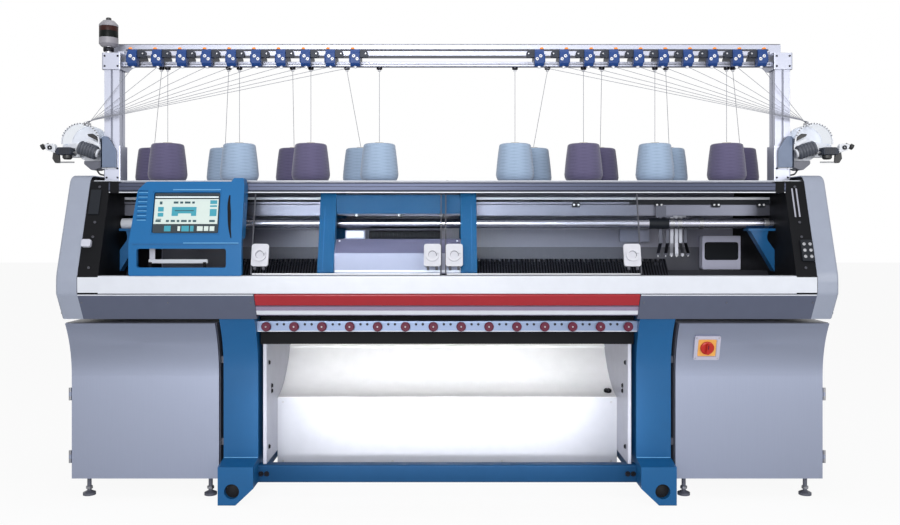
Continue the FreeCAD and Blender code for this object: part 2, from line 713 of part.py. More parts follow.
ties = [block(x0, x0 + LEG_WIDTH, slot_y, slot_y + BEAM_SLOT, BEAM_BOTTOM, BEAM_BOTTOM + 60)
        for x0 in (-LEG_OUTER, LEG_INNER)]
save("bed_beam", fuse(half_beam, mirrored(half_beam, BED_GAP_Y), *ties))


def needle_bed():
    """Flat bed with its comb of knock-over slots, laid on the 45 degree seat."""
    half = BED_LENGTH / 2
    slots = int((BED_LENGTH - 2 * COMB_PITCH) / COMB_PITCH)
    first = -(slots - 1) * COMB_PITCH / 2
    edge = [(-half, -BED_WIDTH), (half, -BED_WIDTH), (half, 0)]
    for i in reversed(range(slots)):
        x = first + i * COMB_PITCH
        edge += [(x + COMB_SLOT / 2, 0), (x + COMB_SLOT / 2, -COMB_DEPTH),
                 (x - COMB_SLOT / 2, -COMB_DEPTH), (x - COMB_SLOT / 2, 0)]
    edge.append((-half, 0))
    plate = prism_xy(edge, -BED_THICK, 0)
    plate.Placement = Placement(Vector(0, BED_INNER_Y, BED_APEX), Rotation(X_AXIS, 45))
    trim = block(-half - 1, half + 1, BED_INNER_Y, BED_INNER_Y + TRIM_REACH,
                 BED_APEX - TRIM_DEPTH, BED_APEX + TRIM_REACH)
    return plate.cut(trim)


bed = needle_bed()
save("front_needle_bed", bed)
save("rear_needle_bed", mirrored(bed, BED_GAP_Y))

rail_half = RAIL_WIDTH / 2
rail_top = BEAM_LEDGE + RAIL_HEIGHT
rail_points = [(RAIL_Y - rail_half, BEAM_LEDGE), (RAIL_Y + rail_half, BEAM_LEDGE),
               (RAIL_Y + rail_half, rail_top, 5.0), (RAIL_Y - rail_half, rail_top, 5.0)]
guide_rail = prism_yz(rail_points, -RAIL_END, RAIL_END)
save("guide_rails", guide_rail, mirrored(guide_rail, BED_GAP_Y))

# ---------------------------------------------------------------- carriage
CARRIAGE_LEFT = CARRIAGE_X - CARRIAGE_WIDTH / 2
CARRIAGE_RIGHT = CARRIAGE_X + CARRIAGE_WIDTH / 2
CAM_UNDER = 1.7
CAM_THICK = 16.0 * math.sqrt(2)
CAM_INNER_Y = BED_INNER_Y - 37
shoe_in = RAIL_Y + rail_half + RUN
shoe_out = RAIL_Y - rail_half - RUN
SHOE_WALL = 12.0
cam_low_y = shoe_in + SHOE_WALL + 8
cam_low_z = bed_height(cam_low_y) + CAM_UNDER
shoe_top = rail_top + 30
chassis_points = [
    (CAM_INNER_Y, bed_height(CAM_INNER_Y) + CAM_UNDER),
    (cam_low_y, cam_low_z), (shoe_in, cam_low_z), (shoe_in, rail_top + RUN), (shoe_out, rail_top + RUN),
    (shoe_out, rail_top - 20), (shoe_out - SHOE_WALL, rail_top - 20), (shoe_out - SHOE_WALL, shoe_top),
    (cam_low_y + shoe_top - cam_low_z - CAM_THICK, shoe_top),
    (CAM_INNER_Y, bed_height(CAM_INNER_Y) + CAM_UNDER + CAM_THICK),
]
chassis = prism_yz(chassis_points, CARRIAGE_LEFT, CARRIAGE_RIGHT)
save("carriage_chassis", chassis, mirrored(chassis, BED_GAP_Y))

COVER_BACK = -140.0
cover_low_back = bed_height(COVER_BACK) + CAM_UNDER + CAM_THICK + SEAT
COVER_HEEL = NOSE_TOP + 6


def carriage_cover():
    knee_back = COVER_FRONT_Y + 90
    outline = [(COVER_FRONT_Y, COVER_HEEL), (COVER_FRONT_Y, COVER_KNEE, 12.0), (knee_back, COVER_TOP, 14.0),
               (COVER_BACK, COVER_TOP, 6.0), (COVER_BACK, cover_low_back)]
    body = prism_yz(outline, CARRIAGE_LEFT, CARRIAGE_RIGHT)
    inner = [(COVER_FRONT_Y + SHEET, COVER_HEEL - 1), (COVER_FRONT_Y + SHEET, COVER_KNEE - 2, 10.0),
             (knee_back + 1, COVER_TOP - SHEET, 12.0), (COVER_BACK - SHEET, COVER_TOP - SHEET, 4.0),
             (COVER_BACK - SHEET, cover_low_back - 10)]
    hollow = prism_yz(inner, CARRIAGE_LEFT + SHEET, CARRIAGE_RIGHT - SHEET)
    label_x = CARRIAGE_LEFT + LABEL_INSET
    label_y = COVER_BACK - LABEL_SETBACK
    label = block(label_x, label_x + LABEL_WIDTH, label_y - LABEL_DEPTH, label_y,
                  COVER_TOP, COVER_TOP + LABEL_HEIGHT)
    return fuse(body.cut(hollow), label)


cover = carriage_cover()
save("carriage_front_cover", cover)
save("carriage_rear_cover", mirrored(cover, BED_GAP_Y))


def bow_side(x0, x1):
    """One side frame of the carriage bow: a portal over the yarn rails."""
    def across(points):
        return points + [(2 * BED_GAP_Y - p[0], *p[1:]) for p in reversed(points)]

    heel = shoe_top - 12
    arch = BOW_FOOT_Z + BOW_ARCH_RISE
    under = BOW_TOP - BOW_ARM
    outer = across([(BOW_HEEL_Y, heel), (BOW_TOE_Y, heel, 20.0), (BOW_FOOT_Y, BOW_FOOT_Z, 12.0),
                    (BOW_SHOULDER_Y, BOW_SHOULDER_Z, 60.0), (BOW_SHOULDER_Y + 14, BOW_TOP, 12.0)])
    inner = across([(BOW_HEEL_Y, heel - 1), (BOW_HEEL_Y, arch), (BOW_ARCH_Y, arch, 20.0),
                    (BOW_SHOULDER_Y + 50, under - 20), (BOW_SHOULDER_Y + 74, under)])
    return prism_yz(outer, x0, x1).cut(prism_yz(inner, x0 - 1, x1 + 1))


bow_left = bow_side(CARRIAGE_LEFT - BOW_POST, CARRIAGE_LEFT)
bow_right = bow_side(CARRIAGE_RIGHT, CARRIAGE_RIGHT + BOW_POST)
front_bar = block(CARRIAGE_LEFT, CARRIAGE_RIGHT, BOW_SHOULDER_Y + 6, BOW_SHOULDER_Y + 41,
                  BOW_BAR_BOTTOM, BOW_BAR_TOP)
bow_bolts = [rod(Vector(CARRIAGE_X + dx, BOW_SHOULDER_Y + 23, BOW_BAR_BOTTOM - 14),
                 Vector(CARRIAGE_X + dx, BOW_SHOULDER_Y + 23, BOW_BAR_BOTTOM), 8.0)
             for dx in (-BOW_BOLT_PITCH, 0.0, BOW_BOLT_PITCH)]
save("carriage_bow", fuse(bow_left, bow_right, front_bar, mirrored(front_bar, BED_GAP_Y), *bow_bolts))

# ---------------------------------------------------------------- rails over the beds
top_rail_points = rectangle(TOP_RAIL_Y - TOP_RAIL_DEPTH / 2, TOP_RAIL_Y + TOP_RAIL_DEPTH / 2,
                            TOP_RAIL_BOTTOM, TOP_RAIL_BOTTOM + TOP_RAIL_HEIGHT, 8.0)
top_rail = prism_yz(top_rail_points, -RAIL_END, RAIL_END)
groove_z = TOP_RAIL_BOTTOM + TOP_RAIL_HEIGHT / 2
groove_y = TOP_RAIL_Y + TOP_RAIL_DEPTH / 2 - 8
groove = block(-RAIL_END - 1, RAIL_END + 1, groove_y, TOP_RAIL_Y + TOP_RAIL_DEPTH, groove_z - 6, groove_z + 6)
save("top_rail", top_rail.cut(groove))

yarn_rail_top = YARN_BEAM_BOTTOM - YARN_RAIL_NECK
yarn_rail_bottom = yarn_rail_top - YARN_RAIL_HEIGHT
rail_ys = [BED_GAP_Y + YARN_RAIL_PITCH * i for i in (-1, 0, 1)]
beam_half_depth = YARN_RAIL_PITCH + 8.0
yarn_beam = prism_yz(rectangle(BED_GAP_Y - beam_half_depth, BED_GAP_Y + beam_half_depth, YARN_BEAM_BOTTOM,
                               YARN_BEAM_BOTTOM + YARN_BEAM_HEIGHT, 4.0), -RAIL_END, RAIL_END)
yarn_rails = []
for y in rail_ys:
    half = YARN_RAIL_WIDTH / 2
    neck = half / 2
    points = [(y - half, yarn_rail_bottom), (y + half, yarn_rail_bottom), (y + half, yarn_rail_top),
              (y + neck, yarn_rail_top), (y + neck, YARN_BEAM_BOTTOM), (y - neck, YARN_BEAM_BOTTOM),
              (y - neck, yarn_rail_top), (y - half, yarn_rail_top)]
    yarn_rails.append(prism_yz(points, -RAIL_END, RAIL_END))
tube = rod(Vector(-RAIL_END, TUBE_Y, TUBE_Z), Vector(RAIL_END, TUBE_Y, TUBE_Z), TUBE_R)
tube_bore = rod(Vector(-RAIL_END, TUBE_Y, TUBE_Z), Vector(RAIL_END, TUBE_Y, TUBE_Z), TUBE_R - 3)
save("yarn_rails", fuse(yarn_beam, *yarn_rails), tube.cut(tube_bore))


def swan_neck():
    """Bracket that carries the round tube: a top plate on a curved diagonal web."""
    plate_top = TUBE_Z - TUBE_R
    tip = SIDE_INNER - BRACKET_REACH
    under = plate_top - BRACKET_PLATE
    plate = block(tip, SIDE_INNER, TUBE_Y - BRACKET_HALF, TUBE_Y + BRACKET_HALF, under, plate_top)
    web = prism_xz([(tip + BRACKET_PLATE, under), (SIDE_INNER, plate_top - BRACKET_DROP),
                    (SIDE_INNER, plate_top - BRACKET_DROP / 2), (SIDE_INNER - 40, plate_top - 50, 40.0),
                    (SIDE_INNER - 30, under)], TUBE_Y - BRACKET_WEB_HALF, TUBE_Y + BRACKET_WEB_HALF)
    return fuse(plate, web)


save("rail_brackets", *both_sides(swan_neck()))

# ---------------------------------------------------------------- yarn carriers
for index, x in enumerate(CARRIER_X):
    side = 1 if index % 2 else -1
    y = rail_ys[index // 2]
    face = YARN_RAIL_WIDTH / 2 + RUN
    outer = face + CARRIER_GRIP
    neck_face = YARN_RAIL_WIDTH / 4 + RUN
    lip_low = yarn_rail_bottom - RUN
    sole = lip_low - CARRIER_SOLE
    crown = yarn_rail_top + CARRIER_CROWN
    grip = [(RUN, sole), (outer, sole), (outer, crown), (neck_face, crown), (neck_face, yarn_rail_top + RUN),
            (face, yarn_rail_top + RUN), (face, lip_low), (RUN, lip_low)]
    slider = prism_yz([(y + side * u, v) for u, v in grip], x - CARRIER_WIDTH / 2, x + CARRIER_WIDTH / 2)
    arm_y = y + side * (face + 7)
    tip_y = BED_GAP_Y + TIP_PITCH * (index - (len(CARRIER_X) - 1) / 2)
    bend_z = TIP_Z + 70
    arm_line = [(arm_y, lip_low), (arm_y, bend_z), (tip_y, TIP_Z + 18), (tip_y, TIP_Z + 4)]
    half = CARRIER_ARM / 2
    outline = [(u - half, v) for u, v in arm_line] + [(u + half, v) for u, v in reversed(arm_line)]
    arm = prism_yz(outline, x - CARRIER_ARM_WIDTH / 2, x + CARRIER_ARM_WIDTH / 2)
    nozzle = rod(Vector(x, tip_y, TIP_Z), Vector(x, tip_y, TIP_Z + 10), 3.0)
    save("yarn_carrier_%d" % (index + 1), fuse(slider, arm, nozzle))

# ---------------------------------------------------------------- sliding doors
DOOR_FOOT_Z = NOSE_TOP + DOOR_GAP
DOOR_HEAD_Z = TOP_RAIL_BOTTOM - DOOR_GAP
DOOR_LEAN = math.degrees(math.atan2(DOOR_HEAD_Y - DOOR_FOOT_Y, DOOR_HEAD_Z - DOOR_FOOT_Z))
DOOR_PLACE = Placement(Vector(0, DOOR_FOOT_Y, DOOR_FOOT_Z), Rotation(X_AXIS, -DOOR_LEAN))


def door_sheet(x0, x1):
    half = DOOR_SHEET / 2
    outline = [(DOOR_FOOT_Y - half, DOOR_FOOT_Z), (DOOR_FOOT_Y + half, DOOR_FOOT_Z),
               (DOOR_HEAD_Y + half, DOOR_HEAD_Z), (DOOR_HEAD_Y - half, DOOR_HEAD_Z)]
    return prism_yz(outline, x0, x1)


def handle(x):
    """Moulded grip: a rounded plate with an open ring boss, on the door's face."""
    face = -DOOR_SHEET / 2 * math.cos(math.radians(DOOR_LEAN))
    z0 = HANDLE_UP - HANDLE_HEIGHT / 2
    z1 = HANDLE_UP + HANDLE_HEIGHT / 2
    plate = prism_xz(rectangle(x - HANDLE_WIDTH / 2, x + HANDLE_WIDTH / 2, z0, z1, 12.0),
                     face - HANDLE_PLATE, face)
    centre = Vector(x, face - HANDLE_PLATE, HANDLE_UP)
    boss = rod(centre, centre - Y_AXIS * HANDLE_BOSS, HANDLE_BOSS_R)
    bore = rod(centre, centre - Y_AXIS * (HANDLE_BOSS + 1), HANDLE_BORE_R)
    mouth = block(x, x + HANDLE_BOSS_R + 1, face - HANDLE_PLATE - HANDLE_BOSS - 1, face - HANDLE_PLATE,
                  HANDLE_UP - 7, HANDLE_UP + 7)
    solid = fuse(plate, boss.cut(bore).cut(mouth))
    solid.Placement = DOOR_PLACE
    return solid


for name, (x0, x1) in zip(("left_door", "right_door"), DOOR_SPANS):
    save(name, door_sheet(x0, x1))
    save(name + "_handles", handle(x0 + HANDLE_INSET), handle(x1 - HANDLE_INSET))

# ---------------------------------------------------------------- take-down
rail_back = TAKEDOWN_RAIL_Y + TAKEDOWN_RAIL_DEPTH
rail_mid = TAKEDOWN_RAIL_BOTTOM + TAKEDOWN_RAIL_HEIGHT / 2
takedown_points = rectangle(TAKEDOWN_RAIL_Y, rail_back, TAKEDOWN_RAIL_BOTTOM,
                            TAKEDOWN_RAIL_BOTTOM + TAKEDOWN_RAIL_HEIGHT, 6.0)
save("takedown_rail", prism_yz(takedown_points, -LEG_INNER, LEG_INNER))
knob_profile = [(0, 0), (KNOB_R * 0.6, 0), (KNOB_R * 0.6, 5), (KNOB_R, 8), (KNOB_R, KNOB_LENGTH - 4),
                (KNOB_R - 4, KNOB_LENGTH), (0, KNOB_LENGTH)]
knob_end = LEG_INNER - KNOB_INSET
knob_pitch = 2 * knob_end / (KNOB_COUNT - 1)
knobs = [turned(knob_profile, Vector(knob_pitch * i - knob_end, TAKEDOWN_RAIL_Y, rail_mid), -Y_AXIS)
         for i in range(KNOB_COUNT)]
save("takedown_knobs", *knobs)

ROLLER_HALF = CHEEK_INNER - 2.0


def takedown_roller(side):
    """Steel roller with rubber lands between its grooves, on two journals."""
    y = BED_GAP_Y + side * (ROLLER_R + ROLLER_NIP / 2)
    core_r = ROLLER_R - 4
    land = 2 * ROLLER_HALF / ROLLER_GROOVES
    end = CHEEK_OUTER + ROLLER_STUB
    profile = [(0, -end), (ROLLER_JOURNAL_R, -end), (ROLLER_JOURNAL_R, -ROLLER_HALF), (core_r, -ROLLER_HALF)]
    for i in range(ROLLER_GROOVES):
        first = -ROLLER_HALF + land * i + ROLLER_GROOVE / 2
        last = -ROLLER_HALF + land * (i + 1) - ROLLER_GROOVE / 2
        profile += [(core_r, first), (ROLLER_R, first), (ROLLER_R, last), (core_r, last)]
    profile += [(core_r, ROLLER_HALF), (ROLLER_JOURNAL_R, ROLLER_HALF), (ROLLER_JOURNAL_R, end), (0, end)]
    return turned(profile, Vector(0, y, ROLLER_Z), X_AXIS), y


front_roller, front_roller_y = takedown_roller(-1)
rear_roller, rear_roller_y = takedown_roller(1)
save("front_takedown_roller", front_roller)
save("rear_takedown_roller", rear_roller)

# ---------------------------------------------------------------- chute and cheeks
CROSSBEAM_TOP = CROSSBEAM_BOTTOM + CROSSBEAM_HEIGHT
cheek_front = rail_back + 4
cheek_back = CHUTE_HEAD_Y + CHEEK_MARGIN
cheek_points = [(cheek_front, CROSSBEAM_TOP), (LEG_REAR, CROSSBEAM_TOP), (LEG_REAR, CHEEK_HEEL_Z),
                (cheek_back, CHEEK_KNEE_Z), (cheek_back, BEAM_BOTTOM), (cheek_front, BEAM_BOTTOM)]
cheek = prism_yz(cheek_points, CHEEK_INNER, CHEEK_OUTER)
bores = [rod(Vector(CHEEK_INNER - 1, y, z), Vector(CHEEK_OUTER + 1, y, z), radius + FIT)
         for y, z, radius in ((front_roller_y, ROLLER_Z, ROLLER_JOURNAL_R),
                              (rear_roller_y, ROLLER_Z, ROLLER_JOURNAL_R),
                              (CHUTE_HEAD_Y, CHUTE_HEAD_Z, CHUTE_PIN_R))]
save("chute_cheeks", *both_sides(cheek.cut(bores)))

CHUTE_HALF = CHEEK_INNER - 2.0
run_y = CHUTE_HEAD_Y - CHUTE_FOOT_Y
run_z = CHUTE_HEAD_Z - CHUTE_FOOT_Z
chord = math.hypot(run_y, run_z)
chute_radius = (chord * chord / 4 + CHUTE_SAG * CHUTE_SAG) / (2 * CHUTE_SAG)
chord_angle = math.atan2(run_z, run_y)
half_turn = math.asin(chord / 2 / chute_radius)
chute_centre = Vector(0, CHUTE_FOOT_Y + run_y / 2 - math.sin(chord_angle) * (chute_radius - CHUTE_SAG),
                      CHUTE_FOOT_Z + run_z / 2 + math.cos(chord_angle) * (chute_radius - CHUTE_SAG))


def chute_point(x, share, radius):
    """A point on the chute's arc, from its foot at share 0 to its head at 1."""
    angle = chord_angle - math.pi / 2 + half_turn * (2 * share - 1)
    return Vector(x, chute_centre.y + radius * math.cos(angle), chute_centre.z + radius * math.sin(angle))


def chute_flap():
    inner = chute_radius
    outer = chute_radius + SHEET
    near = [chute_point(-CHUTE_HALF, share, inner) for share in (0.0, 0.5, 1.0)]
    far = [chute_point(-CHUTE_HALF, share, outer) for share in (1.0, 0.5, 0.0)]
    wire = Part.Wire([Part.Arc(*near).toShape(), Part.LineSegment(near[2], far[0]).toShape(),
                      Part.Arc(*far).toShape(), Part.LineSegment(far[2], near[0]).toShape()])
    sheet = Part.Face(wire).extrude(Vector(2 * CHUTE_HALF, 0, 0))
    reach = CHEEK_OUTER - 3
    pivot = Vector(0, CHUTE_HEAD_Y, CHUTE_HEAD_Z)
    hem = rod(pivot - X_AXIS * CHUTE_HALF, pivot + X_AXIS * CHUTE_HALF, CHUTE_PIN_R + 3)
    pins = rod(pivot - X_AXIS * reach, pivot + X_AXIS * reach, CHUTE_PIN_R)
    return fuse(sheet, hem, pins)


lock_share = LOCK_UP / chord
lock_seat = chute_point(LOCK_X, lock_share, chute_radius)
lock_axis = Vector(0, chute_centre.y - lock_seat.y, chute_centre.z - lock_seat.z)
lock_axis.normalize()
lock_bore = rod(lock_seat - lock_axis * 20, lock_seat + lock_axis * 20, JOURNAL_R + FIT)
save("chute_flap", chute_flap().cut(lock_bore))
lock_profile = [(0, -14), (JOURNAL_R, -14), (JOURNAL_R, 1), (LOCK_R, 1), (LOCK_R, LOCK_HEIGHT - 3),
                (LOCK_R - 3, LOCK_HEIGHT), (0, LOCK_HEIGHT)]
lock = turned(lock_profile, lock_seat, lock_axis)
lock_slot = block(-3, 3, -LOCK_R, LOCK_R, 9, 20)
lock_slot.Placement = Placement(lock_seat, Rotation(Z_AXIS, lock_axis))
save("chute_lock", lock.cut(lock_slot))

panel_top = CHUTE_FOOT_Z - 3
panel_face = CHUTE_FOOT_Y - SHEET
hem_back = CHUTE_FOOT_Y + PANEL_HEM
lower_line = [(hem_back, panel_top), (panel_face, panel_top), (panel_face, PANEL_BOTTOM),
              (hem_back, PANEL_BOTTOM)]
save("lower_panel", prism_yz(folded(lower_line, SHEET), -(CHEEK_INNER - SEAT), CHEEK_INNER - SEAT))


# ---------------------------------------------------------------- cabinets
def cabinet_front(z, shift=0.0):
    """Y of a cabinet's front line at one height: upright, then curving forward."""
    bend = CABINET_TOP - CABINET_BEND_BOTTOM
    radius = (bend * bend + CABINET_BROW * CABINET_BROW) / (2 * CABINET_BROW)
    rise = max(0.0, z - CABINET_BEND_BOTTOM)
    return CABINET_FRONT + shift - radius + math.sqrt(radius * radius - rise * rise)


def cabinet_prism(front_shift, back_y, z0, z1, x0, x1):
    """Everything between a cabinet's front line and a back face, or a shifted front line."""
    bend = CABINET_BEND_BOTTOM
    middle = (max(z0, bend) + z1) / 2
    low, knee, arc, top = [Vector(x0, cabinet_front(z, front_shift), z) for z in (z0, bend, middle, z1)]
    edges = [Part.LineSegment(low, knee).toShape(), Part.Arc(knee, arc, top).toShape()]
    if back_y is None:
        step = Vector(0, DOOR_THICK, 0)
        edges += [Part.LineSegment(top, top + step).toShape(),
                  Part.Arc(top + step, arc + step, knee + step).toShape(),
                  Part.LineSegment(knee + step, low + step).toShape(),
                  Part.LineSegment(low + step, low).toShape()]
    else:
        back_top, back_low = Vector(x0, back_y, z1), Vector(x0, back_y, z0)
        edges += [Part.LineSegment(top, back_top).toShape(), Part.LineSegment(back_top, back_low).toShape(),
                  Part.LineSegment(back_low, low).toShape()]
    return Part.Face(Part.Wire(edges)).extrude(Vector(x1 - x0, 0, 0))


shell_front = DOOR_THICK + CABINET_GAP
cabinet = cabinet_prism(shell_front, CABINET_BACK, CABINET_BOTTOM, CABINET_TOP, CABINET_INNER, BODY_HALF)
room = cabinet_prism(shell_front - 30, CABINET_BACK - CABINET_WALL, CABINET_BOTTOM + CABINET_WALL,
                     CABINET_TOP - CABINET_WALL, CABINET_INNER + CABINET_WALL, BODY_HALF - CABINET_WALL)
cabinet = cabinet.cut(room)
pad_profile = [(0, 0), (FOOT_PAD_R, 0), (FOOT_PAD_R, 12), (FOOT_STEM_R, 22), (FOOT_STEM_R, CABINET_BOTTOM),
               (0, CABINET_BOTTOM)]
feet = [turned(pad_profile, Vector(x, y, 0), Z_AXIS)
        for x in (CABINET_INNER + 60, BODY_HALF - 60) for y in (CABINET_FRONT + 70, CABINET_BACK - 70)]
links = [block(LEG_OUTER, CABINET_INNER + 1, CABINET_FRONT + 40, CABINET_FRONT + 80, z - 16, z + 16)
         for z in BRACKET_HEIGHTS]
save("cabinets", *both_sides(fuse(cabinet, *feet, *links)))

HINGE_X = BODY_HALF + HINGE_R
HINGE_Y = CABINET_FRONT + DOOR_THICK / 2


def cabinet_door():
    z0, z1 = CABINET_BOTTOM + DOOR_INSET, CABINET_TOP - DOOR_INSET
    x0, x1 = CABINET_INNER + DOOR_INSET, BODY_HALF - 2 * DOOR_INSET
    slab = cabinet_prism(0.0, None, z0, z1, x0, x1)
    hollow = cabinet_prism(DOOR_SKIN, None, z0 + DOOR_SKIN, z1 - DOOR_SKIN, x0 + DOOR_SKIN, x1 - DOOR_SKIN)
    door = slab.cut(hollow)
    knuckles = []
    for z in HINGE_HEIGHTS:
        arm = block(x1, HINGE_X, HINGE_Y - 2, HINGE_Y + 2, z - KNUCKLE / 2 + RUN, z + KNUCKLE / 2 - RUN)
        barrel = rod(Vector(HINGE_X, HINGE_Y, z - KNUCKLE / 2 + RUN),
                     Vector(HINGE_X, HINGE_Y, z + KNUCKLE / 2 - RUN), HINGE_R)
        knuckles += [arm, barrel]
    door = fuse(door, *knuckles)
    pins = [rod(Vector(HINGE_X, HINGE_Y, z - KNUCKLE), Vector(HINGE_X, HINGE_Y, z + KNUCKLE),
                HINGE_PIN_R + FIT) for z in HINGE_HEIGHTS]
    return door.cut(pins)


def cabinet_hinges():
    hinges = []
    for z in HINGE_HEIGHTS:
        pin = rod(Vector(HINGE_X, HINGE_Y, z - KNUCKLE), Vector(HINGE_X, HINGE_Y, z + KNUCKLE), HINGE_PIN_R)
        pieces = [pin]
        for z0 in (z - 1.5 * KNUCKLE, z + KNUCKLE / 2):
            pieces.append(rod(Vector(HINGE_X, HINGE_Y, z0), Vector(HINGE_X, HINGE_Y, z0 + KNUCKLE), HINGE_R))
            pieces.append(block(BODY_HALF, BODY_HALF + 3, HINGE_Y, HINGE_Y + 46, z0, z0 + KNUCKLE))
        hinges.append(fuse(*pieces))
    return hinges


hinges = cabinet_hinges()
save("cabinet_hinges", *hinges, *[mirrored(h) for h in hinges])

switch_y = cabinet_front(SWITCH_Z)
switch_fall = cabinet_front(SWITCH_Z - SWITCH_SPAN / 2) - cabinet_front(SWITCH_Z + SWITCH_SPAN / 2)
switch_lean = math.degrees(math.atan2(switch_fall, SWITCH_SPAN))
SWITCH_PLACE = Placement(Vector(SWITCH_X, switch_y, SWITCH_Z), Rotation(X_AXIS, switch_lean))
switch_half = SWITCH_SIZE / 2
switch_seat = 10.0


def switch_plate():
    """Bezel with a raised rim round the switch, its back cut to the door's curve."""
    bezel = prism_xz(rectangle(-switch_half, switch_half, -switch_half, switch_half, 8.0),
                     -SWITCH_PLATE, switch_seat)
    dish_half = switch_half - SWITCH_RIM
    dish = prism_xz(rectangle(-dish_half, dish_half, -dish_half, dish_half, 5.0),
                    -SWITCH_PLATE - 1, -SWITCH_PLATE + SWITCH_DISH)
    shaft = rod(Vector(0, -30, 0), Vector(0, 30, 0), SWITCH_SHAFT_R + FIT)
    bezel = bezel.cut([dish, shaft])
    bezel.Placement = SWITCH_PLACE
    behind = cabinet_prism(0.0, CABINET_BACK, CABINET_BOTTOM, CABINET_TOP, CABINET_INNER, BODY_HALF)
    return bezel.cut(behind)


right_door = cabinet_door()
save("left_cabinet_door", mirrored(right_door))
shaft_hole = rod(Vector(0, -30, 0), Vector(0, 60, 0), SWITCH_SHAFT_R + FIT)
shaft_hole.Placement = SWITCH_PLACE
save("right_cabinet_door", right_door.cut(shaft_hole))
save("main_switch_plate", switch_plate())
knob_base = SWITCH_PLATE - SWITCH_DISH + RUN
knob_profile = [(0, -12), (SWITCH_SHAFT_R, -12), (SWITCH_SHAFT_R, knob_base), (SWITCH_KNOB_R, knob_base),
                (SWITCH_KNOB_R, knob_base + 8), (SWITCH_KNOB_R - 5, knob_base + 11), (0, knob_base + 11)]
switch_knob = turned(knob_profile, ORIGIN, -Y_AXIS)
grip = prism_xz(rectangle(-7, 7, -SWITCH_KNOB_R + 6, SWITCH_KNOB_R - 6, 5.0),
                -knob_base - SWITCH_KNOB_LENGTH + 2, -knob_base - 10)
switch_knob = fuse(switch_knob, grip)
switch_knob.Placement = SWITCH_PLACE
save("main_switch_knob", switch_knob)

rack_x0, rack_x1 = CABINET_INNER + RACK_INSET, BODY_HALF - RACK_INSET
rack_floor = CABINET_BOTTOM + CABINET_WALL
rack_top = rack_floor + RACK_HEIGHT
rack = block(rack_x0, rack_x1, RACK_FRONT, CABINET_BACK - CABINET_WALL, rack_floor, rack_top)
fin_pitch = (rack_x1 - rack_x0) / FIN_COUNT
fin_low = rack_floor + FIN_DEPTH
fin_high = rack_top - FIN_DEPTH / 2
fins = [block(x, x + FIN_THICK, RACK_FRONT - FIN_DEPTH, RACK_FRONT, fin_low, fin_high)
        for x in (rack_x0 + fin_pitch * (i + 0.5) for i in range(FIN_COUNT))]
supply = fuse(rack, *fins)
save("electronics", *both_sides(supply))

# ---------------------------------------------------------------- monitor
MONITOR_LEAN = math.degrees(math.atan2(MONITOR_BROW, MONITOR_TOP - MONITOR_LIP))
rail_face = TOP_RAIL_Y - TOP_RAIL_DEPTH / 2


def front_at_lip(z):
    return FRONT + (z - MONITOR_LIP) * MONITOR_BROW / (MONITOR_TOP - MONITOR_LIP)


def monitor_housing():
    """One moulding: an operating panel over an open window frame that stands on the lid."""
    left, right = MONITOR_LEFT, MONITOR_RIGHT
    top = MONITOR_TOP + MONITOR_LUG
    foot_back = FRONT + MONITOR_FOOT
    front_outline = [(left, NOSE_TOP, 10.0), (right, NOSE_TOP, 10.0), (right, MONITOR_TOP - 20, 8.0),
                     (right - 6, top, 6.0), (right - 50, top, 6.0), (right - 62, MONITOR_TOP),
                     (left + 62, MONITOR_TOP, 20.0), (left + 24, MONITOR_TOP - 40, 30.0),
                     (left, MONITOR_LIP, 20.0)]
    front = prism_xz(front_outline, FRONT - 1, rail_face)
    side_outline = [(FRONT, NOSE_TOP), (foot_back, NOSE_TOP), (foot_back, MONITOR_LIP + 16),
                    (FRONT + 78, MONITOR_LIP + 24), (rail_face, TOP_RAIL_BOTTOM - 25), (rail_face, top),
                    (front_at_lip(top), top), (FRONT, MONITOR_LIP, 14.0)]
    side = prism_yz(side_outline, left - 1, right + 1)
    window_right = right - WINDOW_MARGIN - WINDOW_PILLAR
    window = prism_xz(rectangle(left + WINDOW_MARGIN, window_right, WINDOW_BOTTOM, WINDOW_TOP, 10.0),
                      FRONT - 1, foot_back + 1)
    low, high = SCREEN_BOTTOM - MONITOR_LIP, SCREEN_TOP - MONITOR_LIP
    recess = prism_xz(rectangle(SCREEN_LEFT, SCREEN_RIGHT, low, high, 8.0), -1.0, SCREEN_RECESS)
    recess.Placement = Placement(Vector(0, FRONT, MONITOR_LIP), Rotation(X_AXIS, -MONITOR_LEAN))
    slots = []
    for i in range(VENT_ROWS):
        z = VENT_BOTTOM + VENT_PITCH * i
        slots.append(block(left + 30, left + 30 + VENT_LENGTH, -1, 6, z, z + 9))
    vents = Part.makeCompound(slots)
    vents.Placement = recess.Placement
    return front.common(side).cut([window, recess, vents])


save("monitor_housing", monitor_housing())
screen_outline = rectangle(SCREEN_LEFT + SCREEN_GAP, SCREEN_RIGHT - SCREEN_GAP,
                           SCREEN_BOTTOM - MONITOR_LIP + SCREEN_GAP, SCREEN_TOP - MONITOR_LIP - SCREEN_GAP, 6.0)
screen = prism_xz(screen_outline, SCREEN_RECESS - SCREEN_THICK, SCREEN_RECESS)
screen.Placement = Placement(Vector(0, FRONT, MONITOR_LIP), Rotation(X_AXIS, -MONITOR_LEAN))
save("monitor_screen", screen)

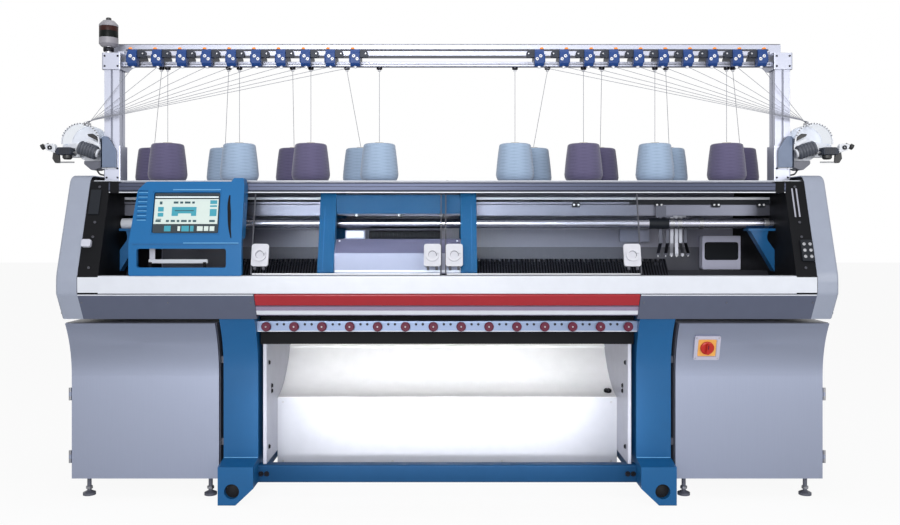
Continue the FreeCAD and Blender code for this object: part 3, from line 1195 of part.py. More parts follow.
# ---------------------------------------------------------------- cone table and cones
table_back = TABLE_BACK - SHEET - SEAT
skirt_back = TABLE_BACK - 12
table_sheet = block(-CAP_INNER, CAP_INNER, TABLE_FRONT, table_back, TABLE_TOP - SHEET, TABLE_TOP)
skirts = [block(-SIDE_INNER, SIDE_INNER, y - SHEET, y, TABLE_TOP - SKIRT, TABLE_TOP)
          for y in (TABLE_FRONT + SHEET, skirt_back)]
table = fuse(table_sheet, *skirts)
cone_places = [(side * share * BODY_HALF, y, i)
               for row, y in ((CONE_FRONT_ROW, CONE_FRONT_Y), (CONE_BACK_ROW, CONE_BACK_Y))
               for side in (-1, 1)
               for i, share in enumerate(row)]
cone_foot = TABLE_TOP + PEG_HEIGHT
pegs = [rod(Vector(x, y, TABLE_TOP), Vector(x, y, cone_foot), PEG_R) for x, y, _ in cone_places]
save("cone_table", fuse(table, *pegs))

cone_profile = [(0, 0), (40, 0), (CONE_BASE_R - 14, 8), (CONE_BASE_R, 34),
                (CONE_TOP_R + 3, CONE_HEIGHT - 10), (CONE_TOP_R - 6, CONE_HEIGHT), (24, CONE_HEIGHT - 6),
                (22, CONE_HEIGHT + TUBE_END), (0, CONE_HEIGHT + TUBE_END)]


def cones(which):
    return [turned(cone_profile, Vector(x, y, cone_foot), Z_AXIS)
            for x, y, i in cone_places if i in which]


save("dark_yarn_cones", *cones((1, 3)))
save("light_yarn_cones", *cones((0, 2)))


# ---------------------------------------------------------------- yarn frame
def grooved_square(size, groove_width, groove_depth):
    """Square extrusion with a groove down the middle of each face."""
    half = size / 2
    mouth = groove_width / 2
    floor = half - groove_depth
    quarter = [(half, -half), (half, -mouth), (floor, -mouth), (floor, mouth), (half, mouth)]
    points = []
    for turn in range(4):
        for u, v in quarter:
            for _ in range(turn):
                u, v = -v, u
            points.append((u, v))
    return points


post_base = TABLE_TOP
post = prism_xy(grooved_square(POST_SIZE, 10.0, 6.0), post_base, POST_TOP)
post.translate(Vector(POST_X, POST_Y, 0))
post_out = POST_SIZE / 2 + HEAD_MARGIN
beam_back = BEAM_FRONT_Y + BEAM_DEPTH
casting_x = POST_X - post_out
casting_front, casting_back = POST_Y - post_out, POST_Y + post_out
head = prism_xy(rectangle(casting_x, POST_X + post_out, casting_front, casting_back, 8.0),
                HEAD_BOTTOM, POST_TOP)
arm_points = [(POST_Y, HEAD_BOTTOM), (casting_back, HEAD_BOTTOM), (beam_back, POST_TOP - 20),
              (beam_back, BEAM_LOW), (POST_Y, BEAM_LOW)]
head_arm = prism_yz(arm_points, casting_x, casting_x + HEAD_ARM)
sleeve = prism_xy(rectangle(casting_x, POST_X + POST_SIZE / 2, casting_front, casting_back, 8.0),
                  post_base, post_base + SLEEVE_HEIGHT)
save("yarn_frame_posts", *both_sides(fuse(post, head, head_arm, sleeve)))

beam_top = BEAM_LOW + BEAM_HEIGHT
beam = prism_yz(rectangle(BEAM_FRONT_Y, beam_back, BEAM_LOW, beam_top), -BEAM_HALF, BEAM_HALF)
groove_mid = BEAM_LOW + BEAM_HEIGHT / 2
beam_grooves = [block(-BEAM_HALF - 1, BEAM_HALF + 1, y, y + 6, groove_mid - 5, groove_mid + 5)
                for y in (BEAM_FRONT_Y, beam_back - 6)]
unit_rail_top = UNIT_RAIL_BOTTOM + UNIT_RAIL_HEIGHT
unit_rail = prism_yz(rectangle(POST_Y - UNIT_RAIL_DEPTH / 2, POST_Y + UNIT_RAIL_DEPTH / 2,
                               UNIT_RAIL_BOTTOM, unit_rail_top, 5.0), -casting_x, casting_x)
eyelet_profile = [(0, -EYELET_HEIGHT), (EYELET_R / 3, -EYELET_HEIGHT), (EYELET_R, -EYELET_HEIGHT / 3),
                  (EYELET_R, 2), (0, 2)]
eyelet_shares = [share for row in (CONE_FRONT_ROW, BACK_ROW_EYELETS) for share in row]
eyelets = [turned(eyelet_profile, Vector(side * share * BODY_HALF, POST_Y, UNIT_RAIL_BOTTOM), Z_AXIS)
           for side in (-1, 1) for share in eyelet_shares]
save("top_beam", beam.cut(beam_grooves), fuse(unit_rail, *eyelets))

clamp_front = POST_Y - UNIT_RAIL_DEPTH / 2
unit_back = clamp_front - UNIT_CLAMP
unit_front = unit_back - UNIT_DEPTH


def control_unit(x):
    """Yarn break detector: a moulded body clamped on the rail, the case behind it and its lamp."""
    z1 = UNIT_BOTTOM + UNIT_HEIGHT
    half = UNIT_WIDTH / 2
    body_side = [(unit_front, UNIT_BOTTOM + 14, 8.0), (unit_front + 14, UNIT_BOTTOM),
                 (unit_back, UNIT_BOTTOM), (unit_back, z1), (unit_front + 10, z1), (unit_front, z1 - 22)]
    body = prism_yz(body_side, x - half, x + half)
    clamp = block(x - half + 6, x + half - 6, unit_back, clamp_front, UNIT_RAIL_BOTTOM + 2, unit_rail_top)
    case_back = unit_back + UNIT_CASE_LENGTH
    case_top = unit_rail_top + UNIT_CASE_HEIGHT
    case_side = [(unit_back, unit_rail_top), (case_back, unit_rail_top), (case_back, case_top - 12, 10.0),
                 (case_back - 40, case_top, 20.0), (unit_back, case_top)]
    case = prism_yz(case_side, x - UNIT_CASE_WIDTH / 2, x + UNIT_CASE_WIDTH / 2)
    lamp_y = (unit_front + unit_back) / 2 - 4
    lens = rod(Vector(x, lamp_y, z1), Vector(x, lamp_y, z1 + UNIT_LENS_HEIGHT), UNIT_LENS_R)
    return fuse(body, clamp, case, lens)


unit_pitch = (POST_X - UNIT_POST_GAP - UNIT_FIRST_X) / (UNIT_COUNT - 1)
unit_xs = [UNIT_FIRST_X + unit_pitch * i for i in range(UNIT_COUNT)]
save("yarn_control_units", *[control_unit(side * x) for side in (-1, 1) for x in unit_xs])


def strand(start, end):
    """Straight piece of yarn whose ends stop THREAD_REST short of two level faces."""
    run = end - start
    lean = math.hypot(run.x, run.y) / run.Length
    step = (THREAD_REST + THREAD_R * lean) / abs(run.z)
    return rod(start + run * step, end - run * step, THREAD_R)


thread_y = (unit_front + unit_back) / 2
cone_top = cone_foot + CONE_HEIGHT + TUBE_END
eyelet_low = UNIT_RAIL_BOTTOM - EYELET_HEIGHT
rising = []
for x, y, i in cone_places:
    side = -1 if x < 0 else 1
    eye_x = x if y == CONE_FRONT_Y else side * BACK_ROW_EYELETS[i] * BODY_HALF
    leaving = Vector(x, y, cone_top)
    rising.append(strand(leaving, Vector(eye_x, POST_Y, eyelet_low)))
fanned = []
for i, x in enumerate(unit_xs):
    feeder_eye = Vector(DRUM_X, thread_y + THREAD_SPREAD * (i - UNIT_COUNT / 2), DRUM_Z + FEEDER_EYE_UP)
    fanned += both_sides(strand(Vector(x, thread_y, UNIT_BOTTOM), feeder_eye))
save("yarn_threads", *rising, *fanned)

# ---------------------------------------------------------------- side feeders
drum_centre = Vector(DRUM_X, DRUM_Y, DRUM_Z)
tilt = math.radians(FEEDER_TILT)
drum_axis = Vector(math.cos(tilt), 0, math.sin(tilt))
drum_up = Vector(-math.sin(tilt), 0, math.cos(tilt))
post_face = POST_X + POST_SIZE / 2


def feeder_drum():
    half = DRUM_LENGTH / 2
    profile = [(0, -half - 12), (DRUM_SHAFT_R, -half - 12), (DRUM_SHAFT_R, -half)]
    pitch = DRUM_LENGTH / DRUM_RIBS
    for i in range(DRUM_RIBS):
        start = -half + pitch * i
        profile += [(DRUM_R - 4, start), (DRUM_R, start + pitch * 0.3), (DRUM_R, start + pitch * 0.7)]
    profile += [(DRUM_R - 4, half), (DRUM_SHAFT_R, half), (DRUM_SHAFT_R, half + 12), (0, half + 12)]
    return turned(profile, drum_centre, drum_axis)


def at_drum(points):
    """Outline given from the drum's middle, as one in the machine's frame."""
    return [(DRUM_X + point[0], DRUM_Z + point[1], *point[2:]) for point in points]


def feeder_dome():
    """Thin half dome over the drum, with the rail on top that the threads enter by."""
    front = Vector(DRUM_X + DOME_OUT, FEEDER_FRONT_Y, DRUM_Z + DOME_UP)
    back = Vector(DRUM_X + DOME_OUT, FEEDER_BACK_Y, DRUM_Z + DOME_UP)
    shell = rod(front, back, DOME_R).cut(rod(front - Y_AXIS, back, DOME_R - DOME_WALL))
    crest = front.z + DOME_R
    upper = block(front.x - DOME_R, front.x + DOME_R, FEEDER_FRONT_Y, FEEDER_BACK_Y, front.z - 10, crest)
    eye_rail = block(DRUM_X - 5, DRUM_X + 5, thread_y - EYE_RAIL_HALF, thread_y + EYE_RAIL_HALF, crest - 10,
                     DRUM_Z + FEEDER_EYE_UP)
    face = rod(back - Y_AXIS * FEEDER_PLATE, back, DOME_R)
    return [shell.common(upper), face.common(upper), eye_rail]


def feeder_motor():
    """Motor block with its knob below, the tension bars beside it and the yarn guide at the outer end."""
    x0 = DRUM_X + MOTOR_OUT
    x1 = x0 + MOTOR_WIDTH
    front = FEEDER_FRONT_Y
    z0 = DRUM_Z - 25
    z1 = z0 + MOTOR_HEIGHT
    case = prism_xz([(x0, z0), (x1, z0), (x1 + 8, z0 + 14), (x1 - 6, z1, 6.0), (x0, z1, 4.0)],
                    front, front + MOTOR_DEPTH)
    knob = turned([(0, 0), (16, 0), (23, 8), (23, 22), (0, 22)], Vector(x0 + 26, front + 28, z0 - 22), Z_AXIS)
    drive = rod(Vector(x0 - 17, DRUM_Y, z0 + 14), Vector(x0, DRUM_Y, z0 + 14), 6.0)
    joint = prism_xz([(x1 - 8, z0 - 40), (x1 + 14, z0 - 40, 6.0), (x1 + 28, z0 - 18), (x1 + 22, z0 + 26),
                      (x1 - 4, z0 + 26)], front + 18, front + 34)
    tension = rod(Vector(x0 - 8, front + 26, z0 - 36), Vector(x1, front + 26, z0 - 36), 3.5)
    guide = prism_xz([(x1 + 10, z0 + 8), (FEEDER_TIP - 34, z0 + 24, 6.0), (FEEDER_TIP - 22, z0 + 52, 8.0),
                      (x1 + 12, z0 + 56, 14.0)], front + 12, front + 40)
    tip_axis = Vector(1, 0, -0.5)
    tip_axis.normalize()
    tip = turned([(0, -22), (6, -22), (6, 0), (TIP_KNOB_R, 2), (TIP_KNOB_R, 16), (0, 16)],
                 Vector(FEEDER_TIP - 20.7, front + 26, z0 + 44), tip_axis)
    web = prism_xz([(x0 - 17, z0 - 6), (x1, z0 - 6), (x1, z1 + 20, 10.0), (x0 - 17, z1 + 30)],
                   front + MOTOR_DEPTH - 1, FEEDER_BACK_Y)
    return [case, knob, drive, joint, tension, guide, tip, web]


def side_feeder():
    """Friction feeder: dome, motor, drum cheeks and the bracket that holds them to the post."""
    back_y = FEEDER_BACK_Y
    post_edge = post_face - DRUM_X
    post_mid = POST_X - DRUM_X
    plate = prism_xz(at_drum([(post_edge + 11, -44), (40, -52, 10.0), (MOTOR_OUT, -31), (MOTOR_OUT, 40),
                              (post_edge + 11, 44)]), back_y - FEEDER_PLATE, back_y)
    wrap = prism_xy([(POST_X - 30, FEEDER_FRONT_Y + 32), (post_face + POST_COVER, FEEDER_FRONT_Y + 32, 6.0),
                     (post_face + POST_COVER, back_y), (post_face + SEAT, back_y),
                     (post_face + SEAT, POST_Y - post_out - SEAT), (POST_X - 30, POST_Y - post_out - SEAT)],
                    DRUM_Z - 86, DRUM_Z + 75)
    slant = prism_xz(at_drum([(post_mid - 31, 0), (post_mid + 5, 65), (post_edge, 80), (post_mid - 31, 80)]),
                     FEEDER_FRONT_Y, back_y)
    bracket = prism_xz(at_drum([(post_edge, -80), (-31, -97), (-11, -97, 8.0), (23, -68, 10.0), (23, -53),
                                (post_edge, -53)]), FEEDER_FRONT_Y + 45, back_y)
    strut_line = at_drum([(-20, -92), (-36, -112), (post_edge + 6, -124)])
    strut = prism_xz(folded(strut_line, -STRUT_THICK), POST_Y - STRUT_HALF, POST_Y + STRUT_HALF)
    pieces = [plate, wrap.cut(slant), bracket, strut, *feeder_dome(), *feeder_motor()]
    half = DRUM_LENGTH / 2 + DRUM_CHEEK_GAP
    for end in (-1, 1):
        seat = drum_centre + drum_axis * (end * half)
        cheek = rod(seat, seat + drum_axis * (end * DRUM_CHEEK), DRUM_CHEEK_R)
        arm = Part.makeBox(DRUM_CHEEK, back_y - FEEDER_PLATE + 2 - DRUM_Y, 40)
        arm.Placement = Placement(seat + drum_axis * (-DRUM_CHEEK if end < 0 else 0) - drum_up * 20,
                                  Rotation(Y_AXIS, -FEEDER_TILT))
        pieces += [cheek, arm]
    body = fuse(*pieces)
    bore = rod(drum_centre - drum_axis * 66, drum_centre + drum_axis * 66, DRUM_SHAFT_R + FIT)
    return body.cut(bore)


feeder = side_feeder()
drum = feeder_drum()
save("side_feeders", *both_sides(feeder))
save("right_feeder_drum", drum)
save("left_feeder_drum", mirrored(drum))

# ---------------------------------------------------------------- signal lamp
lamp_base = POST_TOP + LAMP_STEM
lamp_profile = [(0, POST_TOP), (LAMP_STEM_R, POST_TOP), (LAMP_STEM_R, lamp_base - 14),
                (LAMP_COLLAR_R, lamp_base - 12), (LAMP_COLLAR_R, lamp_base - 4), (LAMP_R, lamp_base),
                (LAMP_R, LAMP_TOP - 49), (LAMP_R - 4, LAMP_TOP - 43), (LAMP_CROWN_R, LAMP_TOP - 17),
                (LAMP_TIP_R, LAMP_TOP - 13), (LAMP_TIP_R, LAMP_TOP), (0, LAMP_TOP)]
save("signal_lamp", turned(lamp_profile, Vector(LAMP_X, POST_Y, 0), Z_AXIS))
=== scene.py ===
"""Looks of a two-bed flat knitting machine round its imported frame.

Sizes are in millimetres in the machine's own frame: +X right seen from the front, +Y to the rear, +Z up,
origin on the floor under the middle. The camera stands where the photograph was taken from.
"""

import logging
import math
from dataclasses import dataclass
from enum import Enum
from typing import Any, Callable, ClassVar, Iterable, Sequence

import bmesh
import bpy
import numpy as np
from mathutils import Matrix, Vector

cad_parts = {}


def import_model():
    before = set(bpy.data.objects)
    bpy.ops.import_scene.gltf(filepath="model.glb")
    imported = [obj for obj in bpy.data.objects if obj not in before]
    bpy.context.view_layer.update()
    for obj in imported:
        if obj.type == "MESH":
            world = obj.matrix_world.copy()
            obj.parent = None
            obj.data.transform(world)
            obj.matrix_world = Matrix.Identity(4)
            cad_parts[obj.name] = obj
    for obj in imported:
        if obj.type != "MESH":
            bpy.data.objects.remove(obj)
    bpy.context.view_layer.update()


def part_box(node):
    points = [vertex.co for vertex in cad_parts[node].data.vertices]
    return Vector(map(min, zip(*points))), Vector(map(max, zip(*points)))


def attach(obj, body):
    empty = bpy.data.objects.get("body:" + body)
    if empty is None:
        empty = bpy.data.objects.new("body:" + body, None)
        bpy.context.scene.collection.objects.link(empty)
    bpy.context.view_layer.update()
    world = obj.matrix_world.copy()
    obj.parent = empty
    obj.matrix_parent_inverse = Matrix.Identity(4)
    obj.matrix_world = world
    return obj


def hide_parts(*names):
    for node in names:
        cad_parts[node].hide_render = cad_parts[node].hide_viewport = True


Pair = tuple[float, float]
Point = tuple[float, float, float]
Floats = tuple[float, ...]
Pairs = tuple[Pair, ...]
Coords = Sequence[float]    # a point, an offset or an axis
Profile = Sequence[Coords]
Tree = bpy.types.NodeTree
Socket = bpy.types.NodeSocket

LOG = logging.getLogger("knitting_machine")
MM = 0.001
ARC_POINTS = 5      # on each rounded corner of an outline
BEVEL_ANGLE = 30    # degrees; a piece's bevel softens the edges that bend more
MACHINE = "machine"
CARRIAGE = "carriage"
RIGHT_CABINET_DOOR = "right_cabinet_door"
MAIN_SWITCH = "main_switch"
FORWARD = (0.0, -1.0, 0.0)
REARWARD = (0.0, 1.0, 0.0)
UP = (0.0, 0.0, 1.0)
DOWN = (0.0, 0.0, -1.0)
RIGHTWARD = (1.0, 0.0, 0.0)
LEFTWARD = (-1.0, 0.0, 0.0)


# ---------------- shapes
class Plane(Enum):
    """Plane an outline is drawn in; the shape is carried along the axis left over."""

    YZ = (1, 2, 0)
    XZ = (0, 2, 1)
    XY = (0, 1, 2)


@dataclass
class Shape:
    """Points in millimetres, the faces that join them and, for a wound pattern, a UV per face corner."""

    points: np.ndarray
    faces: list[list[int]]
    uv: np.ndarray | None = None

    def moved(self, offset: Coords) -> "Shape":
        """The same shape, shifted by an offset."""
        return Shape(self.points + np.asarray(offset, float), self.faces, self.uv)

    def turned(self, rotation: np.ndarray, about: Coords) -> "Shape":
        """The same shape, turned by a 3 by 3 matrix about a point."""
        centre = np.asarray(about, float)
        return Shape((self.points - centre) @ rotation.T + centre, self.faces, self.uv)

    def turned_round(self, about: Coords = (0.0, 0.0, 0.0)) -> "Shape":
        """The same shape after half a turn about an upright axis."""
        return self.turned(np.diag([-1.0, -1.0, 1.0]), about)

    def mirrored(self) -> "Shape":
        """The same plain shape on the other side of the machine's middle plane."""
        return Shape(self.points * np.array([-1.0, 1.0, 1.0]), [face[::-1] for face in self.faces])


def joined(shapes: Iterable[Shape]) -> Shape:
    """Several shapes as one, their face numbers shifted past the points before them.

    Args:
        shapes: one or more.
    Returns:
        One shape, with UVs where all of them have UVs.
    """
    kept = list(shapes)
    starts = np.cumsum([0] + [len(shape.points) for shape in kept[:-1]])
    faces = [[i + int(start) for i in face] for shape, start in zip(kept, starts) for face in shape.faces]
    patterned = all(shape.uv is not None for shape in kept)
    uv = np.concatenate([shape.uv for shape in kept]) if patterned else None
    return Shape(np.concatenate([shape.points for shape in kept]), faces, uv)


def both_sides(shape: Shape) -> Shape:
    """A shape with its mirror image across the machine's middle plane."""
    return joined([shape, shape.mirrored()])


def at_each(shape: Shape, offsets: Iterable[Coords]) -> Shape:
    """A copy of a shape at each offset."""
    return joined([shape.moved(offset) for offset in offsets])


def along_x(shape: Shape, distances: Iterable[float]) -> Shape:
    """A copy of a shape at each distance along X."""
    return at_each(shape, [(x, 0, 0) for x in distances])


def grid_faces(rows: int, columns: int) -> list[list[int]]:
    """Quads of a grid whose columns close on themselves: (i, j), (i, j+1), (i+1, j+1), (i+1, j).

    Args:
        rows: number of rings.
        columns: points round one ring.
    Returns:
        Four point numbers per quad.
    """
    i, j = np.meshgrid(np.arange(rows - 1), np.arange(columns), indexing="ij")
    following = (j + 1) % columns
    quads = np.stack([i * columns + j, i * columns + following,
                      (i + 1) * columns + following, (i + 1) * columns + j], axis=-1)
    return quads.reshape(-1, 4).tolist()


def lofted(rings: np.ndarray, capped: bool = True) -> Shape:
    """Skin over rings of equal point count, closed at both ends by a flat face.

    Args:
        rings: array (rings, points, 3), in order along the shape.
        capped: whether the first and last ring are filled.
    Returns:
        The skin as one shape.
    """
    rows, columns = rings.shape[:2]
    faces = grid_faces(rows, columns)
    if capped:
        last = (rows - 1) * columns
        faces.append(list(range(columns - 1, -1, -1)))
        faces.append(list(range(last, last + columns)))
    return Shape(rings.reshape(-1, 3), faces)


def extruded(outline: np.ndarray, plane: Plane, start: float, end: float) -> Shape:
    """Outline carried from one coordinate to another along the axis its plane leaves over.

    Args:
        outline: (u, v) points.
        plane: the plane that they lie in.
        start: coordinate of the first end.
        end: coordinate of the last end.
    Returns:
        A closed shape.
    """
    rings = np.zeros((2, len(outline), 3))
    u, v, w = plane.value
    rings[:, :, u] = outline[:, 0]
    rings[:, :, v] = outline[:, 1]
    rings[0, :, w] = start
    rings[1, :, w] = end
    return lofted(rings)


def rounded(corners: Profile) -> np.ndarray:
    """Outline through (u, v) or (u, v, radius) corners, each radius an arc tangent to both sides.

    An arc's middle lies on the corner's bisector, radius / sin(half its angle) away.

    Args:
        corners: the corners, in order.
    Returns:
        Its (u, v) points.
    """
    count = len(corners)
    parts = []
    for k, corner in enumerate(corners):
        here = np.array(corner[:2], float)
        radius = corner[2] if len(corner) > 2 else 0.0
        if radius == 0.0:
            parts.append(here[None, :])
            continue
        back = np.array(corners[k - 1][:2], float) - here
        ahead = np.array(corners[(k + 1) % count][:2], float) - here
        back /= np.linalg.norm(back)
        ahead /= np.linalg.norm(ahead)
        half = math.acos(float(np.clip(back @ ahead, -1.0, 1.0))) / 2
        middle = back + ahead
        middle /= np.linalg.norm(middle)
        centre = here + middle * radius / math.sin(half)
        first = here + back * radius / math.tan(half) - centre
        last = here + ahead * radius / math.tan(half) - centre
        share = np.linspace(0.0, 1.0, ARC_POINTS)[:, None]
        sweep = math.pi - 2 * half
        arc = (np.sin((1 - share) * sweep) * first + np.sin(share * sweep) * last) / math.sin(sweep)
        parts.append(arc + centre)
    return np.concatenate(parts)


def box(low: Coords, high: Coords) -> Shape:
    """Block between two corners; its edges are softened by the piece's bevel."""
    outline = np.array([(low[0], low[1]), (high[0], low[1]), (high[0], high[1]), (low[0], high[1])], float)
    return extruded(outline, Plane.XY, low[2], high[2])


def plate(x: Pair, z: Pair, y: Pair, radius: float) -> Shape:
    """Upright plate that fills a span of X, Z and Y, its four corners rounded."""
    corners = [(x[0], z[0], radius), (x[1], z[0], radius), (x[1], z[1], radius), (x[0], z[1], radius)]
    return extruded(rounded(corners), Plane.XZ, *y)


def facing(axis: Coords) -> np.ndarray:
    """Matrix that turns +Z onto an axis."""
    return np.array(Vector(UP).rotation_difference(Vector(axis)).to_matrix())


def revolved(profile: Profile, base: Coords, axis: Coords, sides: int = 24, capped: bool = True) -> Shape:
    """A (radius, height) profile turned about an axis: x = r cos a, y = r sin a, z = h.

    Args:
        profile: radii and heights, in order along the axis.
        base: the point where height is zero.
        axis: direction of the axis.
        sides: points round one ring.
        capped: whether the first and last rings are filled.
    Returns:
        The turned shape.
    """
    radius, height = np.array(profile, float).T
    angle = np.linspace(0.0, 2 * math.pi, sides, endpoint=False)
    rings = np.stack([radius[:, None] * np.cos(angle), radius[:, None] * np.sin(angle),
                      np.repeat(height[:, None], sides, axis=1)], axis=-1)
    shape = lofted(rings, capped)
    return Shape(shape.points @ facing(axis).T + np.asarray(base, float), shape.faces)


def ring(profile: Profile, base: Coords, axis: Coords, sides: int = 32) -> Shape:
    """A closed (radius, height) profile turned about an axis, so that its bore stays open."""
    closed = list(profile) + [profile[0]]
    return revolved(closed, base, axis, sides, capped=False)


def tube(path: Profile, radius: float, sides: int = 12) -> Shape:
    """Round bar along a path: a circle set square to the path at each of its points.

    Args:
        path: points of its axis.
        radius: its radius.
        sides: points round it.
    Returns:
        A closed shape.
    """
    points = np.array(path, float)
    tangent = np.gradient(points, axis=0)
    tangent /= np.linalg.norm(tangent, axis=1)[:, None]
    spread = points.max(axis=0) - points.min(axis=0)
    guide = np.eye(3)[int(np.argmin(spread))]
    across = np.cross(tangent, guide)
    across /= np.linalg.norm(across, axis=1)[:, None]
    upward = np.cross(across, tangent)
    angle = np.linspace(0.0, 2 * math.pi, sides, endpoint=False)
    rings = (points[:, None, :] + radius * (np.cos(angle)[None, :, None] * across[:, None, :]
                                            + np.sin(angle)[None, :, None] * upward[:, None, :]))
    return lofted(rings)


def curved_path(points: Profile, steps: int = 8) -> np.ndarray:
    """Smooth path: cubic spans whose slope at a point is half the step between its neighbours.

    Args:
        points: the points; each end counts twice.
        steps: points on each span.
    Returns:
        Points of the path.
    """
    p = np.array([points[0], *points, points[-1]], float)
    t = np.linspace(0.0, 1.0, steps, endpoint=False)[None, :, None]
    a, b, c, d = p[:-3, None], p[1:-2, None], p[2:-1, None], p[3:, None]
    curve = 0.5 * (2 * b + (c - a) * t + (2 * a - 5 * b + 4 * c - d) * t ** 2
                   + (3 * b - a - 3 * c + d) * t ** 3)
    return np.concatenate([curve.reshape(-1, 3), p[-1:]])


def lean_matrix(angle: float) -> np.ndarray:
    """Turn about +X by an angle in radians, by the right-hand rule."""
    c, s = math.cos(angle), math.sin(angle)
    return np.array([[1, 0, 0], [0, c, -s], [0, s, c]], float)


def swing_matrix(angle: float) -> np.ndarray:
    """Turn about +Y by an angle in radians, by the right-hand rule."""
    c, s = math.cos(angle), math.sin(angle)
    return np.array([[c, 0, s], [0, 1, 0], [-s, 0, c]], float)


def cap_screw(radius: float, height: float, axis: Coords) -> Shape:
    """Head of a socket cap screw, standing on the origin, with a plain recess as its socket.

    Args:
        radius: its radius.
        height: its height.
        axis: the way it faces.
    Returns:
        The head.
    """
    rim = [(radius, 0.0), (radius, height - 1.0), (radius - 1.0, height), (radius * 0.55, height),
           (radius * 0.5, height * 0.35)]
    return revolved(rim, (0, 0, 0), axis, sides=18)


def hex_head(radius: float, height: float, axis: Coords) -> Shape:
    """Head of a hexagon bolt on its washer, standing on the origin.

    Args:
        radius: out to a corner.
        height: with the washer.
        axis: the way it faces.
    Returns:
        Head and washer.
    """
    washer = revolved([(radius * 1.35, 0.0), (radius * 1.35, 1.6)], (0, 0, 0), axis, sides=24)
    profile = [(radius, 1.6), (radius, height - 1.2), (radius * 0.86, height)]
    return joined([washer, revolved(profile, (0, 0, 0), axis, sides=6)])


def wound(profile: Profile, base: Coords, sides: int) -> Shape:
    """A revolved shape whose UV runs round it and up its side in metres, so that a winding follows it.

    Args:
        profile: radii and heights from the bottom up.
        base: the point where height is zero.
        sides: points round one ring.
    Returns:
        Quads only, open at both ends, with a UV per face corner: u = share of a turn x mean girth,
        v = length along the profile.
    """
    shape = revolved(profile, base, UP, sides, capped=False)
    line = np.array(profile, float)
    along = np.concatenate([[0.0], np.cumsum(np.linalg.norm(np.diff(line, axis=0), axis=1))]) * MM
    turn = np.linspace(0.0, 1.0, sides + 1) * 2 * math.pi * line[:, 0].mean() * MM
    i, j = np.meshgrid(np.arange(len(line) - 1), np.arange(sides), indexing="ij")
    u = np.stack([turn[j], turn[j + 1], turn[j + 1], turn[j]], axis=-1)
    v = np.stack([along[i], along[i], along[i + 1], along[i + 1]], axis=-1)
    return Shape(shape.points, shape.faces, np.stack([u, v], axis=-1).reshape(-1, 2))


def corners_of(node: str) -> tuple[np.ndarray, np.ndarray]:
    """Lowest and highest corner of a CAD node, in millimetres."""
    low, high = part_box(node)
    return np.array(low) / MM, np.array(high) / MM


# ---------------- finishes
def linear(code: str) -> tuple[float, float, float, float]:
    """An sRGB hex colour as linear red, green, blue and alpha.

    A channel c becomes c / 12.92 up to 0.04045, and ((c + 0.055) / 1.055) ^ 2.4 above.

    Args:
        code: #RRGGBB.
    Returns:
        Channels from 0 to 1.
    """
    channels = [int(code[i:i + 2], 16) / 255 for i in (1, 3, 5)]
    r, g, b = [c / 12.92 if c <= 0.04045 else ((c + 0.055) / 1.055) ** 2.4 for c in channels]
    return (r, g, b, 1.0)


def add_node(tree: Tree, kind: str, inputs: dict[Any, Any] | None = None, **settings: Any) -> bpy.types.Node:
    """Add one node.

    Args:
        tree: the node tree.
        kind: the node's type name.
        inputs: values or sockets to link, by the input's name or number.
        settings: the node's own properties.
    Returns:
        The new node.
    """
    node = tree.nodes.new(kind)
    for key, value in settings.items():
        setattr(node, key, value)
    for key, value in (inputs or {}).items():
        if isinstance(value, Socket):
            tree.links.new(value, node.inputs[key])
        else:
            node.inputs[key].default_value = value
    return node


@dataclass(frozen=True)
class Finish:
    """What every finish has: its name, the slot of the record it belongs to, its colour and roughness."""

    name: str
    slot: str
    colour: str
    roughness: float

    def material(self) -> bpy.types.Material:
        """The finish's material, made once.

        Returns:
            The material.
        """
        found = bpy.data.materials.get(self.name)
        if found is None:
            found = bpy.data.materials.new(self.name)
            found.use_nodes = True
            found.node_tree.nodes.clear()
            shader = self.shader(found.node_tree)
            add_node(found.node_tree, "ShaderNodeOutputMaterial", {"Surface": shader})
        return found

    def shader(self, tree: Tree) -> Socket:
        """The finish's surface shader; each kind of finish builds its own."""
        raise NotImplementedError

    def place(self, tree: Tree, scale: Coords) -> Socket:
        """Object coordinates in millimetres divided by a scale along each axis.

        Args:
            tree: the node tree.
            scale: millimetres to one unit, along X, Y and Z.
        Returns:
            The coordinates.
        """
        coords = add_node(tree, "ShaderNodeTexCoord")
        factor = [1.0 / (MM * s) for s in scale]
        return add_node(tree, "ShaderNodeMapping", {
            "Vector": coords.outputs["Object"], "Scale": factor}).outputs["Vector"]

    def tint(self, tree: Tree, mask: Socket, darker: float) -> Socket:
        """The colour, mixed towards a darker shade where a mask is high.

        Args:
            tree: the node tree.
            mask: from 0 to 1.
            darker: the darker shade's share of the colour.
        Returns:
            The colour.
        """
        base = linear(self.colour)
        other = tuple(c * darker for c in base[:3]) + (1.0,)
        mix = add_node(tree, "ShaderNodeMix", {0: mask, 6: base, 7: other}, data_type="RGBA")
        return mix.outputs[2]

    def surface(self, tree: Tree, mask: Socket, grain: Socket, shade: Pair, relief: Pair,
                more: dict[str, Any]) -> Socket:
        """Surface whose shade and roughness follow one pattern while its bump follows another.

        Args:
            tree: the node tree.
            mask: pattern of the shade and roughness.
            grain: pattern of the bump.
            shade: how dark the colour gets, and how far the roughness spreads to each side.
            relief: the bump's strength, and its height in metres.
            more: the surface's other inputs.
        Returns:
            The surface.
        """
        darker, spread = shade
        rough = add_node(tree, "ShaderNodeMapRange", {
            0: mask, 3: self.roughness - spread, 4: self.roughness + spread})
        bump = add_node(tree, "ShaderNodeBump", {
            "Height": grain, "Strength": relief[0], "Distance": relief[1]})
        return add_node(tree, "ShaderNodeBsdfPrincipled", {
            "Base Color": self.tint(tree, mask, darker), "Roughness": rough.outputs[0],
            "Normal": bump.outputs[0], **more}).outputs[0]


